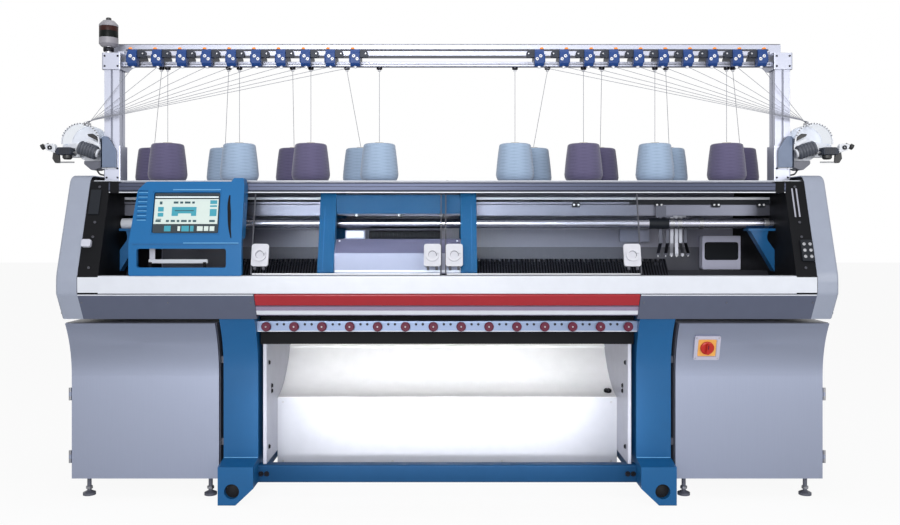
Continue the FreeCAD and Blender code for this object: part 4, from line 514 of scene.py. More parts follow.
@dataclass(frozen=True)
class Enamel(Finish):
    """Baked enamel on sheet or castings: an even colour under a soft gloss, with faint orange peel."""

    peel_mm: float = 9.0        # real peel is 1 to 2 mm, drawn coarser so that it shows
    relief: float = 0.05
    coat: float = 0.25
    specular: float = 0.4

    def shader(self, tree: Tree) -> Socket:
        """Cloudy shade over 300 mm, roughness that follows it, and a fine bump.

        Args:
            tree: the node tree.
        Returns:
            The surface.
        """
        cloud = add_node(tree, "ShaderNodeTexNoise", {"Vector": self.place(tree, (300,) * 3), "Detail": 3.0})
        peel = add_node(tree, "ShaderNodeTexNoise", {
            "Vector": self.place(tree, (self.peel_mm,) * 3), "Detail": 2.0})
        return self.surface(tree, cloud.outputs[0], peel.outputs[0], (0.90, 0.06), (self.relief, 0.001), {
            "Coat Weight": self.coat, "Coat Roughness": 0.15, "Specular IOR Level": self.specular})


@dataclass(frozen=True)
class Metal(Finish):
    """Bare metal with the lines that brushing, grinding or drawing leaves along one axis."""

    line_mm: Point = (900.0, 3.0, 3.0)     # long along X, fine across it
    relief: float = 0.08
    shade: float = 0.82
    anisotropic: float = 0.4

    def shader(self, tree: Tree) -> Socket:
        """Noise stretched along the lines drives shade, roughness and bump.

        Args:
            tree: the node tree.
        Returns:
            The surface.
        """
        lines = add_node(tree, "ShaderNodeTexNoise", {
            "Vector": self.place(tree, self.line_mm), "Detail": 4.0, "Roughness": 0.6})
        return self.surface(tree, lines.outputs[0], lines.outputs[0], (self.shade, 0.07),
                            (self.relief, 0.0005), {"Metallic": 1.0, "Anisotropic": self.anisotropic})


@dataclass(frozen=True)
class Moulded(Finish):
    """Injection-moulded ABS: an even colour with a fine spark-eroded grain."""

    grain_mm: float = 5.0       # real grain is under 0.5 mm, drawn coarser so that it shows
    relief: float = 0.06
    specular: float = 0.5

    def shader(self, tree: Tree) -> Socket:
        """Fine cell noise for the grain and a broad one for the shade.

        Args:
            tree: the node tree.
        Returns:
            The surface.
        """
        grain = add_node(tree, "ShaderNodeTexNoise", {
            "Vector": self.place(tree, (self.grain_mm,) * 3), "Detail": 2.0})
        broad = add_node(tree, "ShaderNodeTexNoise", {"Vector": self.place(tree, (120,) * 3), "Detail": 2.0})
        return self.surface(tree, broad.outputs[0], grain.outputs[0], (0.9, 0.05), (self.relief, 0.0006), {
            "IOR": 1.53, "Specular IOR Level": self.specular})


@dataclass(frozen=True)
class Clear(Finish):
    """Clear polycarbonate sheet: gloss at a glance, a faint tint, and lamps shine through it."""

    def shader(self, tree: Tree) -> Socket:
        """Thin clear layer whose shadow rays pass straight through.

        Args:
            tree: the node tree.
        Returns:
            The surface.
        """
        haze = add_node(tree, "ShaderNodeTexNoise", {"Vector": self.place(tree, (180,) * 3), "Detail": 3.0})
        rough = add_node(tree, "ShaderNodeMapRange", {
            0: haze.outputs[0], 3: self.roughness, 4: self.roughness + 0.01})
        sheet = add_node(tree, "ShaderNodeBsdfPrincipled", {
            "Base Color": linear(self.colour), "Transmission Weight": 1.0, "IOR": 1.05,
            "Roughness": rough.outputs[0]})
        through = add_node(tree, "ShaderNodeBsdfTransparent", {"Color": linear(self.colour)})
        rays = add_node(tree, "ShaderNodeLightPath")
        return add_node(tree, "ShaderNodeMixShader", {
            0: rays.outputs["Is Shadow Ray"], 1: sheet.outputs[0], 2: through.outputs[0]}).outputs[0]


@dataclass(frozen=True)
class WoundYarn(Finish):
    """Cross-wound yarn: layers laid left and right in turn, soft and slightly fuzzy."""

    pitch_mm: float = 16.0      # real yarn lies 0.6 mm apart, drawn coarser so that it shows
    lay_deg: float = 9.0

    def shader(self, tree: Tree) -> Socket:
        """Two sets of slanting bands on the cone's own UV, crossed, under a little fuzz, with the grooves
        between bands darkened as painted shade.

        Bands along Y repeat every 2 pi / (20 x scale) metres, so scale = 2 pi / (20 x pitch in metres).

        Args:
            tree: the node tree.
        Returns:
            The surface.
        """
        coords = add_node(tree, "ShaderNodeTexCoord").outputs["UV"]
        sets = []
        for slant in (-self.lay_deg, self.lay_deg):
            turned = add_node(tree, "ShaderNodeMapping", {
                "Vector": coords, "Rotation": (0.0, 0.0, math.radians(slant))})
            bands = add_node(tree, "ShaderNodeTexWave", {
                "Vector": turned.outputs[0], "Scale": 2 * math.pi / (20.0 * self.pitch_mm * MM),
                "Distortion": 0.6, "Detail": 2.0}, bands_direction="Y")
            sets.append(bands.outputs[1])
        crossed = add_node(tree, "ShaderNodeMath", {0: sets[0], 1: sets[1]}, operation="MAXIMUM").outputs[0]
        fuzz = add_node(tree, "ShaderNodeTexNoise", {"Vector": self.place(tree, (2.0,) * 3), "Detail": 3.0})
        height = add_node(tree, "ShaderNodeMath", {0: crossed, 1: fuzz.outputs[0]}, operation="ADD")
        bump = add_node(tree, "ShaderNodeBump", {
            "Height": height.outputs[0], "Strength": 0.35, "Distance": 0.0012})
        # high between the bands; the tint below darkens these grooves as painted shade
        groove_shade = add_node(tree, "ShaderNodeMath", {0: 1.0, 1: crossed}, operation="SUBTRACT").outputs[0]
        return add_node(tree, "ShaderNodeBsdfPrincipled", {
            "Base Color": self.tint(tree, groove_shade, 0.86), "Roughness": self.roughness,
            "Normal": bump.outputs[0], "Sheen Weight": 0.35, "Sheen Roughness": 0.5,
            "Specular IOR Level": 0.2}).outputs[0]


@dataclass(frozen=True)
class Tricks(Finish):
    """Ground steel bed milled with needle tricks, one beside the other along X."""

    pitch_mm: float = 14.0      # real tricks lie 1.8 mm apart, drawn coarser so that they show

    def shader(self, tree: Tree) -> Socket:
        """Even bands along X: grooves darkened as painted shade between bright walls, over fine grinding
        lines.

        Bands repeat every 2 pi / (20 x scale) of the coordinates, which are counted in pitches here.

        Args:
            tree: the node tree.
        Returns:
            The surface.
        """
        place = self.place(tree, (self.pitch_mm,) * 3)
        bands = add_node(tree, "ShaderNodeTexWave", {
            "Vector": place, "Scale": 2 * math.pi / 20.0}, bands_direction="X")
        ground = add_node(tree, "ShaderNodeTexNoise", {
            "Vector": self.place(tree, (400, 4, 4)), "Detail": 3.0})
        wall = add_node(tree, "ShaderNodeMapRange", {0: bands.outputs[1], 1: 0.35, 2: 0.65}).outputs[0]
        bump = add_node(tree, "ShaderNodeBump", {"Height": wall, "Strength": 0.5, "Distance": 0.002})
        # where the wall height is low, in the grooves, the colour drops to a quarter: painted shade
        colour = add_node(tree, "ShaderNodeMix", {
            0: wall, 6: tuple(c * 0.25 for c in linear(self.colour)[:3]) + (1.0,),
            7: self.tint(tree, ground.outputs[0], 0.8)}, data_type="RGBA").outputs[2]
        return add_node(tree, "ShaderNodeBsdfPrincipled", {
            "Base Color": colour, "Metallic": 1.0, "Roughness": self.roughness,
            "Normal": bump.outputs[0]}).outputs[0]


@dataclass(frozen=True)
class Glowing(Finish):
    """A lit display or lens: its own colour shines a little."""

    strength: float = 0.5

    def shader(self, tree: Tree) -> Socket:
        """Glossy face over an even glow, faintly uneven in a soft noise.

        Args:
            tree: the node tree.
        Returns:
            The surface.
        """
        soft = add_node(tree, "ShaderNodeTexNoise", {"Vector": self.place(tree, (60,) * 3), "Detail": 1.0})
        colour = self.tint(tree, soft.outputs[0], 0.94)
        return add_node(tree, "ShaderNodeBsdfPrincipled", {
            "Base Color": colour, "Roughness": self.roughness, "Emission Color": linear(self.colour),
            "Emission Strength": self.strength}).outputs[0]


class Finishes:
    """Every finish of the machine, named for what it really is."""

    CAP_SILVER = Enamel("silver enamel on steel sheet", "cap_silver", "#9299AA", 0.40)
    LID_SILVER = Enamel("bright silver enamel on folded sheet", "lid_silver", "#CFD3DC", 0.33)
    # the lower front's grey enamel darkened as painted shade, for panels that face down
    PANEL_SHADED_GREY = Enamel("panel grey enamel darkened as painted shade", "panel_grey", "#50566A", 0.42, specular=0.3)
    # the rear cover's own pale grey, lightened further as painted light for its inner face lit through the
    # doors
    REAR_LIT_GREY = Enamel("rear cover grey lightened as painted light", "panel_grey", "#8F90A2", 0.45)
    SIDE_BLACK = Enamel("black paint on castings", "side_black", "#0B0C10", 0.6, coat=0.0, specular=0.12)
    BAR_RED = Enamel("red gloss enamel", "bar_red", "#9C1A26", 0.32, coat=0.3, specular=0.3)
    # the sill's pale enamel darkened as painted shadow under the red bar, with a painted red reflection
    SILL_SHADED = Enamel("sill enamel darkened as painted shadow", "sill_pale", "#8C8099", 0.42)
    FRAME_BLUE = Enamel("blue enamel on welded steel", "frame_blue", "#0F568A", 0.42, coat=0.1, specular=0.3)
    # the frame's blue enamel darkened as painted shade on the crossbeams
    BEAM_SHADED_BLUE = Enamel("crossbeam blue darkened as painted shade", "frame_blue", "#0B3F68", 0.5, coat=0.0, specular=0.15)
    BOW_BLUE = Enamel(
        "blue enamel on the carriage bow", "frame_blue", "#0E4A72", 0.5, coat=0.0, specular=0.15)
    MONITOR_BLUE = Enamel(
        "blue paint on a moulded housing", "monitor_blue", "#0D5F98", 0.42, coat=0.1, specular=0.25)
    MONITOR_EDGE = Enamel("blue paint catching light on raised edges", "monitor_blue", "#5B9CCB", 0.36)
    COVER_SILVER = Enamel(
        "silver enamel on cover sheet", "cover_silver", "#8F93A8", 0.45, coat=0.1, specular=0.25)
    # the cover's enamel darkened as painted shade on its slope
    SLOPE_SHADED_GREY = Enamel(
        "cover enamel darkened as painted shade on the slope", "cover_silver", "#63627A", 0.45, specular=0.2)
    DARK_SLATE = Enamel("dark enamel on rail covers", "side_black", "#171B22", 0.5, coat=0.0, specular=0.2)
    CHEEK_GREY = Enamel("light grey enamel on plate", "cheek_grey", "#BDBFCC", 0.42)
    CHUTE_WHITE = Enamel("white enamel on sheet", "chute_white", "#F4F4F6", 0.42)
    PANEL_WHITE = Enamel("off-white enamel on the lower panel", "chute_white", "#B7BAC4", 0.42)
    CASE_GREY = Enamel("grey enamel on cases", "case_grey", "#5C5E6A", 0.5)
    TABLE_GREY = Enamel("grey enamel on the cone table", "table_grey", "#8C90A0", 0.42)
    BEAM_GREY = Enamel("grey paint on grey iron", "beam_grey", "#26272E", 0.6, peel_mm=14.0, relief=0.2)
    # the drive cover's own light lilac grey, lightened further as painted light
    DRIVE_LIT_LILAC = Enamel("drive cover lilac grey lightened as painted light", "case_grey", "#D6D8F0", 0.42)
    DOOR_SILVER = Metal("fine brushed steel with a clear coat", "cabinet_silver", "#9BA2B6", 0.46,
                        (4.0, 4.0, 700.0), 0.04, 0.92, 0.2)
    GROUND_STEEL = Metal("ground steel of cams and rails", "bed_steel", "#5E5F68", 0.36)
    POLISHED_STEEL = Metal(
        "polished rail steel", "rail_polished", "#B4B5C2", 0.24, (1200.0, 6.0, 6.0), 0.03, 0.9)
    RAIL_SATIN = Metal(
        "satin steel of the upper rail", "rail_polished", "#444858", 0.38, (1200.0, 8.0, 8.0), 0.05, 0.7)
    RAIL_DRAWN = Metal(
        "drawn steel of the yarn rails", "rail_polished", "#5F616C", 0.3, (1200.0, 5.0, 5.0), 0.05, 0.8)
    ANODISED_RAIL = Metal("anodised aluminium rail", "rail_anodised", "#8290AB", 0.36)
    EXTRUSION = Metal(
        "satin anodised extrusion", "extrusion", "#ABAEBC", 0.42, (900.0, 900.0, 6.0), 0.04, 0.9)
    HINGE_STEEL = Metal("satin steel of small fittings", "hinge_steel", "#B2B3B8", 0.32, (20.0, 3.0, 20.0))
    # one stamped carrier steel in two copies: lightened as painted highlight, and darkened as painted shade
    CARRIER_LIT_STEEL = Metal(
        "carrier steel lightened as painted highlight", "carrier_steel", "#8E9099", 0.36, (3.0, 3.0, 60.0))
    CARRIER_SHADED_STEEL = Metal(
        "carrier steel darkened as painted shade", "carrier_steel", "#4A4C55", 0.4, (3.0, 3.0, 60.0))
    NEEDLE_STEEL = Metal("bright needle wire", "bed_steel", "#C9CAD2", 0.25, (3.0, 40.0, 40.0))
    BLACK_OXIDE = Metal("black oxide on screws", "side_black", "#2B2B30", 0.4, (6.0, 6.0, 6.0))
    NEEDLE_BED = Tricks("needle bed with milled tricks", "bed_steel", "#5C5E68", 0.36)
    CLEAR_SHEET = Clear("clear polycarbonate sheet", "clear_sheet", "#F2F5F8", 0.02)
    FEEDER_CLEAR = Clear("clear moulded dome of the side feeder", "feeder_white", "#E8ECF2", 0.06)
    BEZEL_SILVER = Moulded("pale silver moulded bezel", "lid_silver", "#B4B2C2", 0.4, specular=0.3)
    HANDLE_WHITE = Moulded("white moulded handle", "handle_white", "#C9CAD2", 0.4, specular=0.3)
    GASKET_GREY = Moulded("grey extruded gasket", "side_black", "#4B4C54", 0.6, specular=0.3)
    KNOB_MAROON = Moulded("maroon moulded knob", "knob_maroon", "#5C1630", 0.42, specular=0.25)
    ROLLER_RUBBER = Moulded("black rubber lands", "roller_rubber", "#17171A", 0.7, specular=0.25)
    SWITCH_YELLOW = Moulded("yellow moulded plate", "switch_yellow", "#E3A552", 0.4, specular=0.3)
    SWITCH_RED = Moulded("red moulded knob", "switch_red", "#B4281E", 0.4, specular=0.3)
    UNIT_BLUE = Moulded("dark blue moulded body", "unit_blue", "#163D7C", 0.42, specular=0.3)
    UNIT_SLATE = Moulded("dark slate moulded case", "unit_blue", "#242A38", 0.45, specular=0.3)
    COVER_SLATE = Moulded("blue grey moulded cover", "unit_blue", "#67758F", 0.42)
    EYELET_WHITE = Moulded("white ceramic eyelet", "feeder_white", "#EDEEF2", 0.18)
    PAPER_TUBE = Moulded("pale paper tube of a cone", "yarn_light", "#C9C2B4", 0.8, specular=0.2)
    LAMP_DARK = Moulded("black moulded lamp base", "lamp_dark", "#1C1C1E", 0.45)
    LAMP_GREY = Moulded("grey moulded lamp housing", "lamp_dark", "#8D8B93", 0.42)
    LENS_RED = Moulded("dark red moulded lens", "lamp_dark", "#331715", 0.4, specular=0.15)
    LENS_GREEN = Moulded("dark green moulded lens", "lamp_dark", "#060C0B", 0.4, specular=0.12)
    FEEDER_WHITE = Moulded("white moulded feeder housing", "feeder_white", "#D6D9E0", 0.38)
    DRUM_GREY = Moulded("slate ribbed drum sleeve", "drum_grey", "#4A4E58", 0.4)
    THREAD_PALE = Moulded("pale yarn", "thread_pale", "#8E909A", 0.8, specular=0.2)
    YARN_DARK = WoundYarn("dark violet yarn, cross wound", "yarn_dark", "#5B5674", 0.82)
    YARN_LIGHT = WoundYarn("light blue yarn, cross wound", "yarn_light", "#99ADC6", 0.82)
    SCREEN_GLASS = Glowing("dark glass of the display", "screen_pale", "#26323A", 0.12, 0.05)
    SCREEN_PALE = Glowing("pale field of a lit display", "screen_pale", "#B8C4C0", 0.3, 0.22)
    SCREEN_WHITE = Glowing("white edge of a lit display", "screen_pale", "#DCE8EA", 0.3, 0.4)
    SCREEN_TEAL = Glowing("teal field of a lit display", "screen_pale", "#2E8698", 0.3, 0.22)
    SCREEN_INK = Glowing("dark marks of a lit display", "screen_pale", "#2C4A52", 0.25, 0.1)
    LENS_AMBER = Glowing("amber lamp lens", "unit_blue", "#E8832A", 0.2, 0.4)


# ---------------- pieces
def add_piece(name: str, shape: Shape, finish: Finish, body: str = MACHINE, bevel: float = 0.0,
              replaces: Sequence[str] = (), sharp_deg: float = 38.0) -> None:
    """Put a shape into the scene as one finished piece on a body.

    Args:
        name: the piece's name.
        shape: its surface, in millimetres.
        finish: what it is made of.
        body: the CAD body that it moves with.
        bevel: width of its softened edges, in millimetres.
        replaces: the CAD nodes that it stands for.
        sharp_deg: edges sharper than this stay crisp.
    """
    mesh = bpy.data.meshes.new(name)
    mesh.from_pydata((shape.points * MM).tolist(), [], shape.faces)
    if shape.uv is not None:
        layer = mesh.uv_layers.new(name="pattern")
        layer.data.foreach_set("uv", shape.uv.astype(np.float32).ravel())
    shell = bmesh.new()
    shell.from_mesh(mesh)
    bmesh.ops.recalc_face_normals(shell, faces=shell.faces)
    shell.to_mesh(mesh)
    shell.free()
    mesh.polygons.foreach_set("use_smooth", np.ones(len(mesh.polygons), bool))
    mesh.set_sharp_from_angle(angle=math.radians(sharp_deg))
    mesh.materials.append(finish.material())
    piece = bpy.data.objects.new(name, mesh)
    bpy.context.scene.collection.objects.link(piece)
    if bevel > 0.0:
        edges = piece.modifiers.new("softened edges", "BEVEL")
        edges.width = bevel * MM
        edges.segments = 2
        edges.limit_method = "ANGLE"
        edges.angle_limit = math.radians(BEVEL_ANGLE)
        edges.harden_normals = True
    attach(piece, body)
    if replaces:
        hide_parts(*replaces)
    LOG.info("%s: %d faces on %s", name, len(shape.faces), body)


def dress(finish: Finish, *nodes: str) -> None:
    """Give carried-over CAD nodes their finish.

    Args:
        finish: the finish.
        nodes: their names.
    """
    for node in nodes:
        mesh = bpy.data.objects[node].data
        mesh.materials.clear()
        mesh.materials.append(finish.material())
        LOG.info("%s: %s", node, finish.name)


# ---------------- sub-assemblies
def leaned_back(shape: Shape, foot: Coords, lean_deg: float) -> Shape:
    """A shape drawn against an upright face, leaned back with that face about its foot."""
    return shape.turned(lean_matrix(-math.radians(lean_deg)), foot)


Coats = tuple[tuple[Finish, tuple[str, ...]], ...]      # each finish with the nodes it goes on
Steps = Sequence[Callable[[], None]]


class SubAssembly:
    """Group of the machine's parts: finishes of its carried-over nodes, then steps that add pieces."""

    coats: ClassVar[Coats] = ()

    def steps(self) -> Steps:
        """The methods that add the group's pieces, in order."""
        raise NotImplementedError

    def build(self) -> None:
        """Dress the carried-over nodes, then take every step."""
        for finish, nodes in self.coats:
            dress(finish, *nodes)
        for step in self.steps():
            step()


@dataclass
class Body(SubAssembly):
    """End caps, lid, panels, bars and the side frames that carry them."""

    cap_inner: float = 1700.0
    cap_outer: float = 1800.0
    cap_screws: Pairs = (     # (y, z) on the cap's outer face
        (-372.0, 900.0), (-415.0, 1010.0), (-330.0, 1330.0), (-230.0, 1505.0),
        (380.0, 1505.0), (420.0, 1200.0), (410.0, 900.0), (20.0, 895.0))
    side_inner: float = 1605.0
    panel_inner: float = 890.0
    panel_screw_x: float = 1290.0
    panel_screw_down: float = 48.0
    front_y: float = -450.0
    rear_y: float = 450.0
    chin_top: float = 992.0
    chin_run: Pair = (72.0, 122.0)       # how far the lower front goes back and down
    # places down the slope of the bright strip on each lower panel's upper edge, a painted highlight
    highlight_downs: Pair = (3.0, 9.0)
    sill_downs: Pair = (97.0, 118.5)
    sill_face: float = 2.8      # face of the sill's lower strip behind the lower panels' line
    sill_thick: float = 3.4
    gasket_half: float = 1.2
    gasket_proud: float = 0.7
    brow_foot: Point = (0.0, -450.0, 1075.0)
    brow_lean: float = 18.7
    brow_inset: float = 3.3     # side frame's front behind the covers' line
    screw_ups: Floats = (40.0, 190.0, 262.0, 440.0)
    lamp_switch_proud: float = 20.0
    terminal_proud: float = 12.0
    strip_proud: float = 6.0
    rear_screws: int = 12
    rear_screw_z: Pair = (900.0, 1440.0)
    seam_x: float = 600.0
    seam_z: Pair = (880.0, 1464.0)
    pulls_x: Floats = (-900.0, -300.0, 300.0, 900.0)
    coats: ClassVar[Coats] = (
        (Finishes.CAP_SILVER, ("left_end_cap", "right_end_cap")),
        (Finishes.LID_SILVER, ("front_lid",)),
        (Finishes.PANEL_SHADED_GREY, ("front_panels",)),
        (Finishes.REAR_LIT_GREY, ("rear_cover",)),
        (Finishes.SIDE_BLACK, ("side_frames",)),
        (Finishes.BAR_RED, ("start_stop_bar",)),
        (Finishes.SILL_SHADED, ("front_sill",)))

    def chin_slope(self) -> Pair:
        """How far back and how far down one millimetre of the lower front's slope goes."""
        back, drop = np.array(self.chin_run) / math.hypot(*self.chin_run)
        return back, drop

    def on_chin(self, down: float, out: float) -> Pair:
        """(y, z) of a point of the lower front: down its slope from the nose, and out from its face."""
        back, drop = self.chin_slope()
        return (self.front_y + down * back - out * drop, self.chin_top - down * drop - out * back)

    def chin_strip(self, downs: Pair, outs: Pair, start: float, end: float) -> Shape:
        """Strip along the lower front between two places down its slope and two depths, from X to X."""
        around = ((downs[0], outs[0]), (downs[1], outs[0]), (downs[1], outs[1]), (downs[0], outs[1]))
        return extruded(np.array([self.on_chin(down, out) for down, out in around]), Plane.YZ, start, end)

    def on_brow(self, shape: Shape) -> Shape:
        """A shape drawn on the side frame's front as if that were upright, put on its slope."""
        return leaned_back(shape.moved((0, self.brow_inset, 0)), self.brow_foot, self.brow_lean)

    def chin(self) -> None:
        """Bright strip along each lower panel's upper edge as painted highlight, and the screws that hold the
        panels.
        """
        bead_highlight = self.chin_strip(self.highlight_downs, (1.6, -0.5), self.panel_inner + 2, self.cap_inner - 1)
        add_piece("panel_bead_highlights", both_sides(bead_highlight), Finishes.LID_SILVER, bevel=0.6)
        back, drop = self.chin_slope()
        screw = cap_screw(4.5, 3.0, (0.0, -drop, -back))
        xs = (self.panel_inner + 18, self.panel_screw_x, self.cap_inner - 11)
        places = [(x, *self.on_chin(self.panel_screw_down, 0.0)) for x in xs]
        add_piece("panel_screws", both_sides(at_each(screw, places)), Finishes.CASE_GREY)
        depths = (-self.sill_face, -(self.sill_face + self.sill_thick))
        strip = self.chin_strip(self.sill_downs, depths, -self.panel_inner + 2, self.panel_inner - 2)
        add_piece("sill_lower_strip", strip, Finishes.LID_SILVER)

    def caps(self) -> None:
        """Dark gasket between each end cap and the covers, and the cap's screws on its outer face."""
        y, low, high = self.front_y, self.chin_top + 2, self.brow_foot[2] - 2
        line = np.array([(y, low), (y, high), (y + 5, high + 5), (y + 5, low + 4)]) - (self.gasket_proud, 0.0)
        x, half = self.cap_inner, self.gasket_half
        gasket = extruded(line, Plane.YZ, x - half, x + half)
        add_piece("cap_gaskets", both_sides(gasket), Finishes.GASKET_GREY)
        screw = cap_screw(8.0, 4.0, RIGHTWARD)
        seats = [(self.cap_outer, y, z) for y, z in self.cap_screws]
        add_piece("cap_screws", both_sides(at_each(screw, seats)), Finishes.BLACK_OXIDE)

    def side_bands(self) -> None:
        """Small fittings on the black side frames beside the working space."""
        middle = (self.side_inner + self.cap_inner) / 2
        y = self.front_y
        screw = cap_screw(6.0, 4.0, FORWARD)
        heads = at_each(screw, [(middle, y, self.brow_foot[2] + up) for up in self.screw_ups])
        add_piece("side_frame_screws", both_sides(self.on_brow(heads)), Finishes.GASKET_GREY)
        knob = plate((-1697, -1652), (1212, 1249), (y - self.lamp_switch_proud, y + 1), 10)
        add_piece("left_lamp_switch", self.on_brow(knob), Finishes.CHEEK_GREY, bevel=3.0)
        case = plate((1640, 1697), (1145, 1248), (y - self.terminal_proud, y + 1), 6)
        add_piece("right_terminal_box", self.on_brow(case), Finishes.DARK_SLATE, bevel=2.0)
        port = revolved([(7.5, 0.0), (7.5, 2.0), (5.5, 2.0), (5.0, 0.6)], (0, 0, 0), FORWARD, 16)
        places = [(x, y - self.terminal_proud, z) for x in (1654, 1682) for z in (1166, 1196, 1226)]
        add_piece("right_terminal_ports", self.on_brow(at_each(port, places)), Finishes.HINGE_STEEL)
        strip = box((0, y - self.strip_proud, 1362), (8, y + 1, 1506))
        strips = along_x(strip, (1632, 1652))
        add_piece("right_side_strips", self.on_brow(strips), Finishes.POLISHED_STEEL, bevel=1.5)
        cover = box((-1690, y - self.strip_proud, 1375), (-1640, y + 1, 1500))
        add_piece("left_side_cover", self.on_brow(cover), Finishes.DARK_SLATE, bevel=3.0)

    def back(self) -> None:
        """Seams, screws, a blank rating plate and four cup pulls on the rear cover."""
        y = self.rear_y
        seam = box((-1.5, y - 1.0, self.seam_z[0]), (1.5, y + 0.8, self.seam_z[1]))
        add_piece("rear_cover_seams", along_x(seam, (-self.seam_x, self.seam_x)), Finishes.GASKET_GREY)
        screw = cap_screw(7.0, 3.5, REARWARD)
        xs = np.linspace(40 - self.cap_inner, self.cap_inner - 40, self.rear_screws)
        seats = [(x, y, z) for x in xs for z in self.rear_screw_z]
        add_piece("rear_cover_screws", at_each(screw, seats), Finishes.BLACK_OXIDE)
        rating = plate((-60, 60), (1240, 1310), (y - 0.5, y + 1.0), 5)
        add_piece("blank_rating_plate", rating, Finishes.HINGE_STEEL)
        cup = plate((-55, 55), (1190, 1250), (y - 0.5, y + 2.0), 14)
        add_piece("rear_cup_frames", along_x(cup, self.pulls_x), Finishes.GASKET_GREY, bevel=0.6)
        inside = plate((-46, 46), (1199, 1241), (y + 1.8, y + 2.3), 8)
        add_piece("rear_cup_insides", along_x(inside, self.pulls_x), Finishes.SIDE_BLACK)

    def steps(self) -> Steps:
        """This group's steps."""
        return (self.chin, self.caps, self.side_bands, self.back)


@dataclass
class Base(SubAssembly):
    """Leg frames, crossbeams, cabinets and their doors."""

    leg_inner: float = 905.0
    leg_outer: float = 1070.0
    leg_front: float = -280.0
    beam_bolts_x: Pair = (864.0, 891.0)
    beam_mid_z: float = 119.0
    foot_top: float = 197.0
    weld_r: float = 2.6
    hole_seat: Point = (1005.0, -366.0, 66.0)      # back of the transport hole's toe
    cabinet_foot_x: Pair = (1150.0, 1740.0)
    cabinet_foot_y: Pair = (-212.0, 330.0)
    side_louvres: int = 9
    louvre_pitch: float = 26.0
    louvre_foot: float = 250.0
    louvre_span: Pair = (-70.0, 190.0)   # (front, rear) Y of each louvre
    glands_x: Floats = (1180.0, 1240.0, 1300.0)
    gland_seat: Pair = (400.0, 160.0)    # (y, z)
    switch_seat: Point = (1234.5, -302.6, 728.0)
    switch_lean: float = -16.8  # the door's curve leans it forward
    switch_field_half: float = 43.0
    switch_screw_half: float = 53.0
    coats: ClassVar[Coats] = (
        (Finishes.FRAME_BLUE, ("left_leg_frame", "right_leg_frame", "rail_brackets")),
        (Finishes.BEAM_SHADED_BLUE, ("crossbeams",)),
        (Finishes.CASE_GREY, ("cabinets", "electronics")),
        (Finishes.DOOR_SILVER, ("left_cabinet_door", "right_cabinet_door")),
        (Finishes.HINGE_STEEL, ("cabinet_hinges",)),
        (Finishes.BEZEL_SILVER, ("main_switch_plate",)),
        (Finishes.SWITCH_RED, ("main_switch_knob",)))

    def frames(self) -> None:
        """Bolts that join the crossbeams to the legs, weld beads over each foot in a lighter blue as painted
        highlight, and black rubber discs in each foot's hole as painted shade.
        """
        bolt = hex_head(9.5, 8.0, FORWARD)
        bolts = at_each(bolt, [(x, self.leg_front, self.beam_mid_z) for x in self.beam_bolts_x])
        add_piece("crossbeam_bolts", both_sides(joined([bolts, bolts.turned_round()])), Finishes.BLACK_OXIDE)
        xs = (self.leg_inner + 2, self.leg_outer - 2)
        weld = tube([(x, self.leg_front, self.foot_top) for x in xs], self.weld_r, 8)
        rear = weld.moved((0, -2 * self.leg_front, 0))
        add_piece("foot_weld_bead_highlights", both_sides(joined([weld, rear])), Finishes.MONITOR_EDGE)
        shade_plug = revolved([(0.5, 0), (26, 0), (30, 3), (34.6, 3), (34.6, 9)], self.hole_seat, REARWARD, 36)
        shade_plugs = both_sides(joined([shade_plug, shade_plug.turned_round()]))
        add_piece("transport_hole_shade_plugs", shade_plugs, Finishes.ROLLER_RUBBER)

    def cabinets(self) -> None:
        """Lock nuts on the levelling feet, pressed louvres in each outer side and cable glands behind."""
        nut = revolved([(17.0, 30.0), (17.0, 42.0)], (0, 0, 0), UP, sides=6)
        places = [(x, y, 0) for x in self.cabinet_foot_x for y in self.cabinet_foot_y]
        add_piece("levelling_nuts", both_sides(at_each(nut, places)), Finishes.HINGE_STEEL)
        hood = extruded(np.array([(1799.5, 0.0), (1804.5, 1.0), (1804.0, 3.0), (1799.5, 15.0)]), Plane.XZ,
                        *self.louvre_span)
        feet = [self.louvre_foot + self.louvre_pitch * i for i in range(self.side_louvres)]
        rows = at_each(hood, [(0, 0, z) for z in feet])
        add_piece("cabinet_side_louvres", both_sides(rows), Finishes.CASE_GREY)
        gland = revolved([(19, 0), (19, 8), (13, 8), (13, 20), (10, 24)], (0, 0, 0), REARWARD, 18)
        glands = at_each(gland, [(x, *self.gland_seat) for x in self.glands_x])
        add_piece("cable_glands", both_sides(glands), Finishes.BLACK_OXIDE)

    def on_switch(self, shape: Shape) -> Shape:
        """A shape drawn round the origin against an upright plate, put on the switch's slope."""
        return leaned_back(shape.moved(self.switch_seat), self.switch_seat, self.switch_lean)

    def main_switch(self) -> None:
        """Yellow field in the bezel, its corner screws and the knob's pointer."""
        across = (-self.switch_field_half, self.switch_field_half)
        field = plate(across, across, (-6.6, -5.2), 5)
        add_piece("main_switch_field", self.on_switch(field), Finishes.SWITCH_YELLOW, body=RIGHT_CABINET_DOOR)
        screw = cap_screw(3.6, 2.0, FORWARD)
        sides = (-self.switch_screw_half, self.switch_screw_half)
        corners = [(x, -12.0, z) for x in sides for z in sides]
        add_piece("main_switch_screws", self.on_switch(at_each(screw, corners)), Finishes.HINGE_STEEL,
                  body=RIGHT_CABINET_DOOR)
        pointer = box((-2.0, -33.2, 2.0), (2.0, -31.5, 22.0))
        add_piece("switch_pointer", self.on_switch(pointer), Finishes.KNOB_MAROON, body=MAIN_SWITCH)

    def steps(self) -> Steps:
        """This group's steps."""
        return (self.frames, self.cabinets, self.main_switch)


